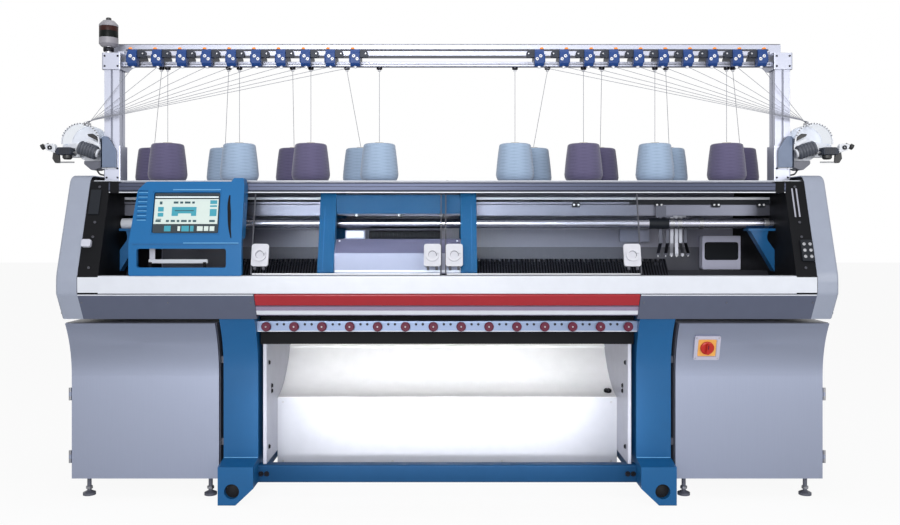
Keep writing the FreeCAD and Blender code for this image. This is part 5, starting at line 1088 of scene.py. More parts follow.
@dataclass
class KnittingHead(SubAssembly):
    """Bed beam, needle beds, rails, carriage and yarn carriers."""

    carriers: int = 6
    bed_apex: Pair = (-53.0, 1141.0)     # (y, z) of the front bed's comb edge
    bed_middle_y: float = -50.0
    needle_pitch: float = 8.0
    needle_half: float = 1084.0
    carriage_x: float = -234.5
    carriage_half: float = 298.5
    post_width: float = 76.0
    bow_foot: Pair = (-372.0, 1085.0)            # (y, z)
    bow_shoulder: Pair = (-254.0, 1458.0)        # (y, z)
    bow_bolts: Floats = (-205.0, 0.0, 205.0)         # from the carriage's middle
    bow_bolt_z: float = 1364.0
    # the bend down each post is drawn as a lighter line, a painted highlight
    fold_out: float = 14.0      # fold line beyond the post's outer edge
    fold_ups: Pair = (12.0, 330.0)
    cover_line: Pairs = ((-340.0, 1085.0), (-340.0, 1176.0), (-250.0, 1242.0))   # (y, z)
    housing_x: Pair = (150.0, 505.0)             # from the carriage's left end
    housing_rib_pitch: float = 20.0
    rail_end: float = 1605.0
    beam_front: float = -118.0
    # bright edge strip: a painted highlight
    beam_edge_z: Pair = (1437.0, 1449.0)
    beam_strip_z: Pair = (1425.0, 1436.5)
    # darker band on the right: a painted reflection of the polished rail
    beam_shade_z: Pair = (1412.5, 1425.0)
    beam_shade_x: float = 905.0
    clamps_x: Floats = (-1430.0, 640.0, 1052.0, 1336.0, 1560.0)
    tube_seat: Pair = (-150.0, 1318.0)           # (y, z) of the round tube's axis
    skin_radii: Pair = (24.55, 24.9)
    sleeve_radii: Pair = (24.6, 26.4)
    sleeve: Pair = (993.0, 98.0)                 # start and length along X
    left_sleeve: Pair = (-1602.0, 170.0)
    collars_x: Floats = (1096.0, 1132.0, 1240.0, 1560.0)
    collar_length: float = 22.0
    top_rail_front: float = -320.0
    top_rail_grooves: Pairs = ((1473.0, 3.0), (1491.0, 2.0))      # Z and height
    wall_y: float = 310.0
    lining_back: float = 448.0
    lining_end: float = 1598.0
    nozzle_pitch: float = 8.0
    coats: ClassVar[Coats] = (
        (Finishes.BEAM_GREY, ("bed_beam",)),
        (Finishes.NEEDLE_BED, ("front_needle_bed", "rear_needle_bed")),
        (Finishes.GROUND_STEEL, ("carriage_chassis",)),
        (Finishes.POLISHED_STEEL, ("guide_rails",)),
        (Finishes.RAIL_DRAWN, ("yarn_rails",)),
        (Finishes.RAIL_SATIN, ("top_rail",)),
        (Finishes.COVER_SILVER, ("carriage_front_cover", "carriage_rear_cover")),
        (Finishes.BOW_BLUE, ("carriage_bow",)),
        # carriers 3 to 5 take the lightened steel as painted highlights, carriers 1, 2 and 6 the darkened
        # steel as painted shade
        (Finishes.CARRIER_LIT_STEEL, ("yarn_carrier_3", "yarn_carrier_4", "yarn_carrier_5")),
        (Finishes.CARRIER_SHADED_STEEL, ("yarn_carrier_1", "yarn_carrier_2", "yarn_carrier_6")))

    def needles(self) -> None:
        """Bright needle shanks lying in the tricks of both beds, their hooks at the comb edge."""
        y, z = self.bed_apex
        slope = math.sqrt(0.5)
        profile = [(4.0, 0.1), (46.0, 0.1), (46.0, 1.2), (4.0, 1.2)]
        outline = np.array([(y - slope * (down + out), z - slope * (down - out)) for down, out in profile])
        shank = extruded(outline, Plane.YZ, -1.0, 1.0)
        xs = np.arange(-self.needle_half, self.needle_half, self.needle_pitch)
        front = along_x(shank, xs)
        rear = front.turned_round((0, self.bed_middle_y, 0))
        add_piece("needles", joined([front, rear]), Finishes.NEEDLE_STEEL)

    def bow(self) -> None:
        """Bright caps on the bolts under the bow's front bar and a lighter line down the bend of each post, a
        painted highlight.
        """
        cap = revolved([(9.2, 0), (9.2, 12), (7.0, 14.6)], (0, 0, 0), DOWN, 16)
        seats = [(self.carriage_x + dx, self.bow_shoulder[0] + 23, self.bow_bolt_z) for dx in self.bow_bolts]
        add_piece("bow_bolt_caps", at_each(cap, seats), Finishes.HINGE_STEEL, CARRIAGE)
        y, z = self.bow_foot
        lean = math.degrees(math.atan2(self.bow_shoulder[0] - y, self.bow_shoulder[1] - z))
        reach = self.carriage_half + self.post_width / 2 + self.fold_out
        painted_line = box((-1.5, y - 0.7, z + self.fold_ups[0]), (1.5, y + 0.5, z + self.fold_ups[1]))
        fold_highlights = along_x(painted_line, (self.carriage_x - reach, self.carriage_x + reach))
        add_piece("bow_fold_highlights", leaned_back(fold_highlights, (0.0, y, z), lean), Finishes.FRAME_BLUE, CARRIAGE)

    def covers(self) -> None:
        """Sloping sheet darkened as painted shade, a bright strip at the lower edge as painted highlight,
        blank label plate and drive housing of the carriage's front cover.
        """
        low, foot, head = np.array(self.cover_line)
        left = self.carriage_x - self.carriage_half
        right = self.carriage_x + self.carriage_half
        along = (head - foot) / np.linalg.norm(head - foot)
        out = np.array([-along[1], along[0]])
        first, last = foot + 2 * along, head - along
        line = np.array([first, last, last + 0.8 * out, first + 0.8 * out])
        sheet = extruded(line, Plane.YZ, left + 3, right - 3)
        add_piece("cover_slope_shade", sheet, Finishes.SLOPE_SHADED_GREY, CARRIAGE)
        edge = box((left + 2, low[0] - 1.4, low[1] + 1), (right - 2, low[0] + 1.0, low[1] + 12))
        add_piece("cover_lower_edge_highlight", edge, Finishes.LID_SILVER, CARRIAGE, bevel=0.6)
        screw = cap_screw(5.0, 2.5, (0.0, out[0], out[1]))
        seats = [(x, *(head - 16 * along)) for x in (left + 16, right - 16)]
        add_piece("cover_screws", at_each(screw, seats), Finishes.EYELET_WHITE, CARRIAGE)
        label = box((left + 41, -191.4, 1249), (left + 124, -189.8, 1279))
        add_piece("blank_label_plate", label, Finishes.LID_SILVER, CARRIAGE, bevel=0.5)
        start, end = (left + x for x in self.housing_x)
        section = rounded([(-184, 1243), (-184, 1276, 8), (-176, 1284, 6), (-152, 1284, 6), (-152, 1243)])
        housing = extruded(section, Plane.YZ, start, end)
        add_piece("cam_drive_housing", housing, Finishes.SIDE_BLACK, CARRIAGE, bevel=1.5)
        pitch = self.housing_rib_pitch
        rib = box((-1.5, -185.2, 1250), (1.5, -183.0, 1270))
        ribs = along_x(rib, np.arange(start + pitch, end - pitch + 5, pitch))
        add_piece("drive_housing_ribs", ribs, Finishes.DARK_SLATE, CARRIAGE)

    def beam_strip(self, start: float, end: float, z: Pair, proud: float) -> Shape:
        """Strip on the yarn beam's front face."""
        return box((start, self.beam_front - proud, z[0]), (end, self.beam_front + 0.5, z[1]))

    def beam_fittings(self) -> None:
        """Bright edge as painted highlight, a dark strip with a darker band on the right as painted
        reflection, and clamps on the yarn beam whose white screws stand for painted glints.
        """
        y = self.beam_front
        end = self.rail_end - 2
        edge = self.beam_strip(-end, end, self.beam_edge_z, 1.2)
        add_piece("yarn_beam_highlight_edge", edge, Finishes.LID_SILVER, bevel=0.6)
        strips = joined([self.beam_strip(-end, end, self.beam_strip_z, 0.8),
                         self.beam_strip(self.beam_shade_x, end, self.beam_shade_z, 0.8)])
        add_piece("yarn_beam_dark_strip_and_shade", strips, Finishes.DARK_SLATE)
        outline = rounded([(-20, 1398, 4), (20, 1398, 4), (20, 1424, 8), (-20, 1424, 8)])
        clamps = along_x(extruded(outline, Plane.XZ, y - 8, y + 1), self.clamps_x)
        add_piece("rail_clamps", clamps, Finishes.DARK_SLATE, bevel=1.5)
        screw = cap_screw(5.0, 4.0, FORWARD)
        seats = [(x + dx, y - 8, 1411) for x in self.clamps_x for dx in (-11, 11)]
        add_piece("rail_clamp_screw_glints", at_each(screw, seats), Finishes.EYELET_WHITE)

    def on_tube(self, radii: Pair, start: float, length: float, sides: int = 28) -> Shape:
        """Sleeve on the round tube, from an X over a length.

        Args:
            radii: inner and outer.
            start: X of its left end.
            length: along X.
            sides: points round it.
        Returns:
            The sleeve.
        """
        inner, outer = radii
        profile = [(inner, 0), (outer, 0), (outer, length), (inner, length)]
        return ring(profile, (start, *self.tube_seat), RIGHTWARD, sides)

    def tube_fittings(self) -> None:
        """Polished skin, sleeves and collars of the round tube."""
        end, radii = self.rail_end - 2, self.sleeve_radii
        add_piece("tube_skin", self.on_tube(self.skin_radii, -end, 2 * end, 40), Finishes.POLISHED_STEEL)
        add_piece("tube_sleeve", self.on_tube(radii, *self.sleeve), Finishes.DARK_SLATE, bevel=0.6)
        collars = along_x(self.on_tube(radii, 0.0, self.collar_length), self.collars_x)
        add_piece("tube_collars", collars, Finishes.HINGE_STEEL, bevel=0.5)
        add_piece("tube_left_sleeve", self.on_tube(radii, *self.left_sleeve), Finishes.LID_SILVER, bevel=0.5)

    def top_rail_fittings(self) -> None:
        """End blocks, grooves and bright lower edge of the top rail, the edge a painted highlight."""
        y = self.top_rail_front
        end = self.rail_end - 2
        ends = both_sides(box((1556, y - 2, 1461), (1598, y + 42, 1516)))
        add_piece("top_rail_ends", ends, Finishes.SIDE_BLACK, bevel=2.0)
        grooves = [box((-end, y - 0.6, z), (end, y + 0.5, z + height)) for z, height in self.top_rail_grooves]
        add_piece("top_rail_grooves", joined(grooves), Finishes.DARK_SLATE)
        edge = box((-end, y - 0.8, 1462), (end, y + 0.5, 1467))
        add_piece("top_rail_highlight_edge", edge, Finishes.LID_SILVER, bevel=0.4)

    def far_wall(self) -> None:
        """Covers on the far side of the working space, seen past the rails; the drive cover is lightened as
        painted light and carries a dark patch as painted reflection.
        """
        y, back, end = self.wall_y, self.lining_back, self.lining_end
        outline = rounded([(1394, 1070, 10), (1604, 1070), (1604, 1254), (1394, 1254, 10)])
        drive = extruded(outline, Plane.XZ, y, y + 60)
        add_piece("drive_cover", drive, Finishes.DRIVE_LIT_LILAC, bevel=3.0)
        field = plate((1406, 1590), (1122, 1220), (y - 1.0, y + 1), 14)
        add_piece("drive_cover_dark_reflection", field, Finishes.DARK_SLATE)
        magazine = box((942, y, 1221), (1105, y + 20, 1288))
        arms = [box((x, y + 14, 1240), (x + 20, back, 1256)) for x in (962, 1066)]
        add_piece("carrier_magazine_plate", joined([magazine, *arms]), Finishes.COVER_SILVER, bevel=2.0)
        upper = box((-end, back - 10, 1292), (end, back, 1352))
        add_piece("rear_lining", upper, Finishes.LID_SILVER, bevel=1.0)
        lower = box((-end, back - 8, 1010), (end, back - 0.5, 1190))
        add_piece("rear_lining_lower", lower, Finishes.CASE_GREY, bevel=1.0)

    def carrier_details(self) -> None:
        """Bright sleeve round each carrier's nozzle; the nozzles stand one pitch apart over the beds' gap."""
        for index in range(self.carriers):
            body = f"carrier_{index + 1}"
            low, high = corners_of(f"yarn_carrier_{index + 1}")
            y = self.bed_middle_y + self.nozzle_pitch * (index - (self.carriers - 1) / 2)
            seat = ((low[0] + high[0]) / 2, y, low[2] + 1.5)
            sleeve = ring([(3.05, 0), (3.6, 0), (3.6, 7), (3.05, 7)], seat, UP, 16)
            add_piece(f"{body}_nozzle_sleeve", sleeve, Finishes.HINGE_STEEL, body)

    def steps(self) -> Steps:
        """This group's steps."""
        return (self.needles, self.bow, self.covers, self.beam_fittings,
                self.tube_fittings, self.top_rail_fittings, self.far_wall, self.carrier_details)


@dataclass
class Doors(SubAssembly):
    """Two clear sliding doors and their handles."""

    foot: Point = (0.0, -405.0, 1075.4)
    lean: float = 15.1
    length: float = 402.0
    spans: tuple[tuple[str, float, float], ...] = (("left_door", -915.0, -26.0), ("right_door", -10.0, 905.0))
    strip_half: float = 3.0
    handle_inset: float = 43.0
    handle_up: float = 94.0
    handle_out: float = 13.8    # the handle's face before the sheet's middle
    roller_up: float = 31.0
    roller_half: float = 20.0   # half the distance between a handle's two rollers
    coats: ClassVar[Coats] = (
        (Finishes.CLEAR_SHEET, ("left_door", "right_door")),
        (Finishes.HANDLE_WHITE, ("left_door_handles", "right_door_handles")))

    def on_door(self, shape: Shape) -> Shape:
        """A shape drawn against an upright sheet, leaned back with the door."""
        return leaned_back(shape, self.foot, self.lean)

    def finish_door(self, body: str, x0: float, x1: float) -> None:
        """Edge strips and foot rail of one door, and the rings and rollers of its two handles, each ring dark
        as painted shade round the handle's disc.

        Args:
            body: the door.
            x0: its left edge.
            x1: its right edge.
        """
        y, z = self.foot[1:]
        half = self.strip_half
        strip = box((-half, y - 3.4, z + 4), (half, y + 3.4, z + self.length - 6))
        strips = along_x(strip, (x0 + half, x1 - half))
        add_piece(f"{body}_edge_strips", self.on_door(strips), Finishes.GASKET_GREY, body, bevel=1.0)
        foot_rail = box((x0 + 8, y - 4.2, z + 2), (x1 - 8, y + 4.2, z + 9))
        add_piece(f"{body}_foot_rail", self.on_door(foot_rail), Finishes.HINGE_STEEL, body, bevel=0.8)
        middles = (x0 + self.handle_inset, x1 - self.handle_inset)
        # dark ring round the handle's raised disc: painted shade
        groove_shade = ring([(17.6, 0), (20.4, 0), (20.4, 1.2), (17.6, 1.2)], (0, 0, 0), FORWARD, 28)
        grooves = at_each(groove_shade, [(x, y - self.handle_out, z + self.handle_up) for x in middles])
        add_piece(f"{body}_handle_shade_rings", self.on_door(grooves), Finishes.CASE_GREY, body)
        wheel = revolved([(8, -6), (9, -5), (9, 5), (8, 6)], (0, 0, 0), RIGHTWARD, 20)
        xs = [x + dx for x in middles for dx in (-self.roller_half, self.roller_half)]
        wheels = at_each(wheel, [(x, y - self.handle_out + 2.4, z + self.roller_up) for x in xs])
        add_piece(f"{body}_handle_rollers", self.on_door(wheels), Finishes.GASKET_GREY, body)

    def both_doors(self) -> None:
        """Finish the left and the right door."""
        for body, x0, x1 in self.spans:
            self.finish_door(body, x0, x1)

    def steps(self) -> Steps:
        """This group's steps."""
        return (self.both_doors,)


@dataclass
class TakeDown(SubAssembly):
    """Take-down rail, knobs, rollers, cheeks and the fabric chute."""

    knob_count: int = 14
    knob_end: float = 860.0
    rail_y: float = -300.0
    rail_z: float = 827.0
    knob_length: float = 22.0
    rail_bolt_half: float = 16.0        # half the distance between the two bolts of a pair
    rail_half: float = 903.0
    # half width of the black sheet that stands as painted shade in the recess behind the rail
    shade_sheet_half: float = 896.0
    cheek_inner: float = 869.0
    cap_inner: float = 890.5
    roller_z: float = 745.0
    rollers_y: Pair = (-78.6, -21.4)
    cheek_bolts: Pairs = (           # (y, z)
        (-136.0, 490.0), (-136.0, 516.0), (-200.0, 230.0), (-200.0, 640.0))
    panel_screws_x: Floats = (-840.0, -280.0, 280.0, 840.0)
    coats: ClassVar[Coats] = (
        (Finishes.ANODISED_RAIL, ("takedown_rail",)),
        (Finishes.KNOB_MAROON, ("takedown_knobs",)),
        (Finishes.ROLLER_RUBBER, ("front_takedown_roller", "rear_takedown_roller")),
        (Finishes.CHEEK_GREY, ("chute_cheeks",)),
        (Finishes.CHUTE_WHITE, ("chute_flap",)),
        (Finishes.PANEL_WHITE, ("lower_panel",)),
        (Finishes.BLACK_OXIDE, ("chute_lock",)))

    def rail(self) -> None:
        """Screw in each knob's middle, bolts between the knobs, a bright lip as painted highlight and a black
        sheet behind as painted shade in the recess.
        """
        xs = np.linspace(-self.knob_end, self.knob_end, self.knob_count)
        screw = cap_screw(4.0, 3.0, FORWARD)
        seats = [(x, self.rail_y - self.knob_length, self.rail_z) for x in xs]
        add_piece("knob_screws", at_each(screw, seats), Finishes.HINGE_STEEL)
        bolt = hex_head(4.5, 4.0, FORWARD)
        between = (xs[1:] + xs[:-1]) / 2
        shifts = (-self.rail_bolt_half, self.rail_bolt_half)
        places = [(x + dx, self.rail_y, self.rail_z + 10) for x in between for dx in shifts]
        add_piece("rail_bolts", at_each(bolt, places), Finishes.BLACK_OXIDE)
        lip = box((-self.rail_half, self.rail_y - 1.2, 802), (self.rail_half, self.rail_y + 1, 806))
        add_piece("rail_lower_highlight", lip, Finishes.LID_SILVER)
        sheet = box((-self.shade_sheet_half, -262, 738), (self.shade_sheet_half, -257.9, 879))
        add_piece("recess_shade_sheet", sheet, Finishes.SIDE_BLACK)

    def cheeks(self) -> None:
        """Bearing caps of the rollers and the bolts that hold each cheek."""
        cap = revolved([(26, 0), (26, 3), (22, 5), (13, 5)], (0, 0, 0), LEFTWARD, 24)
        caps = at_each(cap, [(self.cap_inner, y, self.roller_z) for y in self.rollers_y])
        add_piece("bearing_caps", both_sides(caps), Finishes.HINGE_STEEL)
        bolt = hex_head(9.0, 7.0, LEFTWARD)
        places = [(self.cheek_inner, y, z) for y, z in self.cheek_bolts]
        add_piece("cheek_bolts", both_sides(at_each(bolt, places)), Finishes.BLACK_OXIDE)

    def panel(self) -> None:
        """Screws in the corners of the panel under the chute."""
        low, high = corners_of("lower_panel")
        screw = cap_screw(6.0, 3.0, FORWARD)
        places = [(x, low[1], z) for x in self.panel_screws_x for z in (low[2] + 22, high[2] - 22)]
        add_piece("lower_panel_screws", at_each(screw, places), Finishes.HINGE_STEEL)

    def steps(self) -> Steps:
        """This group's steps."""
        return (self.rail, self.cheeks, self.panel)


@dataclass
class Monitor(SubAssembly):
    """Tilted operating panel on the lid."""

    foot: Point = (0.0, -450.0, 1226.0)
    lean: float = 12.8
    left: float = -1362.0       # the display's left edge
    glass: float = 4.0          # display's face behind the housing's
    width: float = 404.0        # from the display's left edge to the housing's right end
    vents: int = 7
    vent_z: Pair = (106.5, 110.0)
    vent_pitch: float = 22.0
    frame_lines: tuple[tuple[Pair, Pair], ...] = (      # X and Z spans of the display's frame, side by side
        ((-5.0, 0.0), (40.0, 246.0)), ((308.0, 312.0), (40.0, 246.0)),
        ((-5.0, 312.0), (40.0, 44.0)), ((-5.0, 312.0), (242.0, 247.0)))
    coats: ClassVar[Coats] = (
        (Finishes.MONITOR_BLUE, ("monitor_housing",)),
        (Finishes.SCREEN_GLASS, ("monitor_screen",)))

    def on_panel(self, shape: Shape) -> Shape:
        """A shape drawn from the display's left edge and the panel's foot, put on the tilted panel."""
        return leaned_back(shape.moved((self.left, self.foot[1], self.foot[2])), self.foot, self.lean)

    def tiles(self, name: str, finish: Finish, proud: float, spans: Profile) -> None:
        """Thin fields on the display's face, as one piece.

        Args:
            name: the piece's name.
            finish: its finish.
            proud: how far they stand out.
            spans: (x, x, z, z) of each, and its own proud height where it differs.
        """
        fields = [box((x0, self.glass - (higher[0] if higher else proud), z0), (x1, self.glass + 0.4, z1))
                  for x0, x1, z0, z1, *higher in spans]
        add_piece(name, self.on_panel(joined(fields)), finish)

    def display(self) -> None:
        """Fields of a plain operating picture: a pale ground, blocks, rows of marks and a row of keys."""
        self.tiles("display_ground", Finishes.SCREEN_PALE, 0.5, [(5, 300, 91, 210)])
        self.tiles("display_top_edge", Finishes.SCREEN_WHITE, 0.6, [(6, 299, 217, 222)])
        centre = [(86, 200, 141, 172), (86, 116, 129, 141), (176, 200, 129, 141)]
        columns = [(22, 48, 150, 172), (22, 48, 126, 144), (262, 294, 186, 204), (262, 294, 172, 180),
                   (262, 294, 128, 162)]
        self.tiles("display_blocks", Finishes.SCREEN_TEAL, 0.9, centre + columns)
        upper = [(x, x + w, 188, 198) for x, w in ((92, 22), (122, 14), (144, 26), (178, 12))]
        starts = ((14, 24), (62, 14), (84, 20), (112, 12), (132, 26), (166, 12), (186, 16), (262, 26))
        lower = [(x, x + w, 100, 110) for x, w in starts]
        aside = [(28, 40, 184, 198), (16, 40, 112, 115), (100, 188, 152, 156, 1.2)]
        self.tiles("display_marks", Finishes.SCREEN_INK, 0.9, upper + lower + aside)
        teal = [(x, x + w, 56, 82) for x, w in ((56, 30), (136, 34), (176, 16))]
        self.tiles("display_teal_keys", Finishes.SCREEN_TEAL, 1.0, teal)
        pale = [(x, x + w, 58, 80) for x, w in ((118, 12), (208, 26), (240, 20), (266, 22))]
        self.tiles("display_pale_keys", Finishes.SCREEN_PALE, 1.0, pale)

    def line(self, x: Pair, z: Pair, proud: float) -> Shape:
        """Line that stands proud of the housing's face, over a span of X and Z."""
        return box((x[0], -proud, z[0]), (x[1], 0.5, z[1]))

    def housing(self) -> None:
        """Ridge over the display, frame round it, a dark line under the lower ridge as painted shade, the
        dark slit at its right and the vents' bright lips; ridges and lips are in the lighter blue of painted
        highlights.
        """
        ridge = plate((86, 308), (251, 256), (-2.2, 0.5), 1.5)
        add_piece("monitor_ridge", self.on_panel(ridge), Finishes.MONITOR_EDGE, bevel=0.6)
        lower = self.line((150, self.width), (-2.0, 2.0), 2.0)
        add_piece("monitor_lower_ridge", self.on_panel(lower), Finishes.MONITOR_EDGE, bevel=0.8)
        painted_line = self.line((-84, self.width), (-8.0, -3.0), 1.0)
        add_piece("monitor_shade_line", self.on_panel(painted_line), Finishes.FRAME_BLUE, bevel=0.4)
        frame = joined([self.line(x, z, 1.6) for x, z in self.frame_lines])
        add_piece("display_frame", self.on_panel(frame), Finishes.MONITOR_BLUE, bevel=0.7)
        spine = curved_path([(352, 0, 228), (350, 0, 190), (354, 0, 140), (358, 0, 80), (368, 0, 22)], 6)
        width = 7.0 * np.sin(np.linspace(0.15, math.pi - 0.1, len(spine))) + 1.0
        outline = np.concatenate([np.stack([spine[:, 0] - width, spine[:, 2]], axis=1),
                                  np.stack([spine[:, 0] + width, spine[:, 2]], axis=1)[::-1]])
        add_piece("monitor_slit", self.on_panel(extruded(outline, Plane.XZ, -0.8, 0.5)), Finishes.SIDE_BLACK)
        lip = self.line((-72, -30), self.vent_z, 1.4)
        lips = at_each(lip, [(0, 0, self.vent_pitch * i) for i in range(self.vents)])
        add_piece("vent_lips", self.on_panel(lips), Finishes.MONITOR_EDGE, bevel=0.5)

    def behind_window(self) -> None:
        """Duct and block seen through the open window under the panel."""
        duct = box((-1396, -379, 1130), (-1120, -366, 1149))
        add_piece("wiring_duct", duct, Finishes.LID_SILVER, bevel=2.0)
        block = box((-1396, -366.5, 1131), (-1370, -357, 1204))
        add_piece("duct_end_block", block, Finishes.CHEEK_GREY, bevel=2.0)
        feet = joined([box((x, -385, 1071), (x + 14, -377, 1136)) for x in (-1394, -1140)])
        add_piece("duct_feet", feet, Finishes.SIDE_BLACK, bevel=1.0)

    def steps(self) -> Steps:
        """This group's steps."""
        return (self.display, self.housing, self.behind_window)


@dataclass
class YarnStand(SubAssembly):
    """Cone table, cones, yarn frame, control units and threads."""

    cone_sides: int = 72
    body_half: float = 1800.0
    front_row: Floats = (0.188, 0.378, 0.576, 0.775)
    back_row: Floats = (0.253, 0.449, 0.651, 0.859)
    back_eyelets: Floats = (0.278, 0.4285, 0.606, 0.792)
    row_y: Pair = (-100.0, 150.0)
    cone_foot: float = 1528.0
    table_top: float = 1522.0
    table_half: float = 1697.0
    table_screws: int = 9
    table_screw_end: float = 1560.0
    post_x: float = 1659.5
    post_y: float = -100.0
    post_face: float = -147.5
    unit_first: float = 452.0
    unit_pitch: float = 121.5
    units: int = 10
    unit_lamp: Point = (13.0, -164.0, 2172.0)   # foot of the lamp of a unit at X = 0
    rail_low: float = 2098.0
    beam_half: float = 1643.0
    coats: ClassVar[Coats] = (
        (Finishes.TABLE_GREY, ("cone_table",)),
        (Finishes.EXTRUSION, ("yarn_frame_posts", "top_beam")),
        (Finishes.THREAD_PALE, ("yarn_threads",)))

    def cone_places(self, which: tuple[int, int]) -> list[Point]:
        """Feet of the cones with these numbers in their rows, on both sides.

        Args:
            which: numbers in a row, from the middle out.
        Returns:
            (x, y, z) of each foot.
        """
        rows = zip((self.front_row, self.back_row), self.row_y)
        return [(side * row[i] * self.body_half, y, self.cone_foot) for row, y in rows for side in (-1, 1)
                for i in which]

    def cones(self) -> None:
        """Wound packages on paper tubes: the winding bulges a little and rounds over at both ends."""
        share = np.linspace(0.0, 1.0, 12)
        flank = np.stack([95.0 - 15.6 * share + 1.2 * np.sin(math.pi * share), 34.0 + 142.0 * share], axis=1)
        low = [(40.0, 0.0), (78.0, 2.0), (87.0, 9.0), (92.5, 20.0)]
        high = [(78.0, 180.5), (75.0, 184.5), (69.0, 187.0), (40.0, 185.0), (24.0, 181.0)]
        package = wound([*low, *flank.tolist(), *high], (0, 0, 0), self.cone_sides)
        core = revolved([(24.5, 2.0), (24.5, 176.0), (22.0, 194.0), (16.0, 194.0), (16.0, 186.0)], (0, 0, 0),
                        UP, 32)
        kinds = (("dark", Finishes.YARN_DARK, (1, 3)), ("light", Finishes.YARN_LIGHT, (0, 2)))
        for name, finish, which in kinds:
            places = self.cone_places(which)
            add_piece(f"{name}_yarn_packages", at_each(package, places), finish,
                      replaces=(f"{name}_yarn_cones",), sharp_deg=80.0)
            add_piece(f"{name}_cone_tubes", at_each(core, places), Finishes.PAPER_TUBE)

    def table(self) -> None:
        """Rolled rim along each long edge of the table, brighter than the table as painted highlight; the
        table's screws and a dark felt disc under each cone.
        """
        low, high = corners_of("cone_table")
        z = self.table_top - 1
        rim_highlights = [tube([(-self.table_half, y, z), (self.table_half, y, z)], 3.5, 10)
                for y in (low[1] + 3, high[1] - 6)]
        add_piece("table_rim_highlights", joined(rim_highlights), Finishes.LID_SILVER)
        felt = revolved([(52, 0), (52, 3.5), (48, 5.0)], (0, 0, 0), UP, 32)
        places = [(x, y, self.table_top) for x, y, _ in self.cone_places((0, 1, 2, 3))]
        add_piece("felt_discs", at_each(felt, places), Finishes.GASKET_GREY)
        screw = cap_screw(7.0, 4.0, UP)
        xs = np.linspace(-self.table_screw_end, self.table_screw_end, self.table_screws)
        spots = [(x, y, self.table_top) for x in xs for y in (low[1] + 22, high[1] - 26)]
        add_piece("table_screws", at_each(screw, spots), Finishes.BLACK_OXIDE)

    def control_units(self) -> None:
        """Yarn control unit: blue body on the rail, slate case and arm, amber lamp, eyelets and clamp."""
        side = rounded([(-184, 2104, 8), (-172, 2091, 5), (-142, 2091, 5), (-140, 2100), (-140, 2172, 6),
                        (-174, 2174, 8), (-184, 2156, 10)])
        body = extruded(side, Plane.YZ, -23.0, 23.0)
        flange = rounded([(-183, 2108, 6), (-150, 2108, 6), (-150, 2150, 8), (-178, 2150, 8)])
        ear = extruded(flange, Plane.YZ, 23.0, 29.0)
        box_side = rounded([(-140, 2125), (9, 2125, 5), (9, 2158, 12), (-28, 2168, 12), (-140, 2168, 6)])
        case = extruded(box_side, Plane.YZ, -18.0, 18.0)
        front = rounded([(-64, 2136, 6), (-20, 2134, 6), (14, 2140, 4), (16, 2168, 8), (-30, 2172, 10),
                         (-60, 2166, 8)])
        arm = extruded(front, Plane.XZ, -172.0, -142.0)
        pin = revolved([(5.0, 0), (5.0, 7), (3.5, 9)], (-52.0, -172.0, 2151.0), FORWARD, 14)
        lamp = revolved([(9.5, 0), (9.5, 5), (9.0, 9), (6.0, 12.0), (1.0, 13.4)], self.unit_lamp, UP, 16)
        lamp_seat = revolved([(11.5, -3), (11.5, 2.5)], self.unit_lamp, UP, 16)
        eyelet = ring([(3.0, 0), (8.0, 0), (8.0, 3.5), (6.0, 6.0), (3.0, 6.0)], (0, 0, 0), FORWARD, 18)
        eyelets = joined([eyelet.moved((6.0, -184.0, 2138.0)), eyelet.moved((-11.0, -184.0, 2124.0)),
                          ring([(3.0, 0), (8.0, 0), (8.0, 8.0), (3.0, 8.0)], (0.0, -162.0, 2083.0), UP, 18)])
        clamp = joined([box((-17, -139, 2100), (17, -115, 2122)),
                        cap_screw(6.0, 4.0, UP).moved((0.0, -127.0, 2122.0))])
        parts = (
            ("bodies", joined([body, ear]), Finishes.UNIT_BLUE, 1.5),
            ("cases", joined([case, arm]), Finishes.UNIT_SLATE, 1.2),
            ("lamps", lamp, Finishes.LENS_AMBER, 0.0),
            ("lamp_seats", lamp_seat, Finishes.UNIT_SLATE, 0.0),
            ("eyelets", eyelets, Finishes.EYELET_WHITE, 0.0),
            ("pins", pin, Finishes.HINGE_STEEL, 0.0),
            ("clamps", clamp, Finishes.BLACK_OXIDE, 0.0))
        xs = [self.unit_first + self.unit_pitch * i for i in range(self.units)]
        for name, shape, finish, bevel in parts:
            add_piece(f"control_unit_{name}", both_sides(along_x(shape, xs)), finish, bevel=bevel,
                      replaces=("yarn_control_units",))

    def eyelets(self) -> None:
        """Ceramic eyes set in the black ends of the rail's thread guides."""
        shares = (*self.front_row, *self.back_eyelets)
        xs = [side * share * self.body_half for side in (-1, 1) for share in shares]
        rim = ring([(3.5, 0), (7.5, 0), (7.5, 4), (3.5, 4)], (0, self.post_y, self.rail_low - 16.5), DOWN, 18)
        add_piece("guide_eyes", along_x(rim, xs), Finishes.EYELET_WHITE)
        foot = (0, self.post_y, self.rail_low - 1.0)
        cup = ring([(9.0, 0), (14.5, 0), (14.5, 9), (9.0, 12)], foot, DOWN, 18)
        add_piece("guide_cups", along_x(cup, xs), Finishes.BLACK_OXIDE)

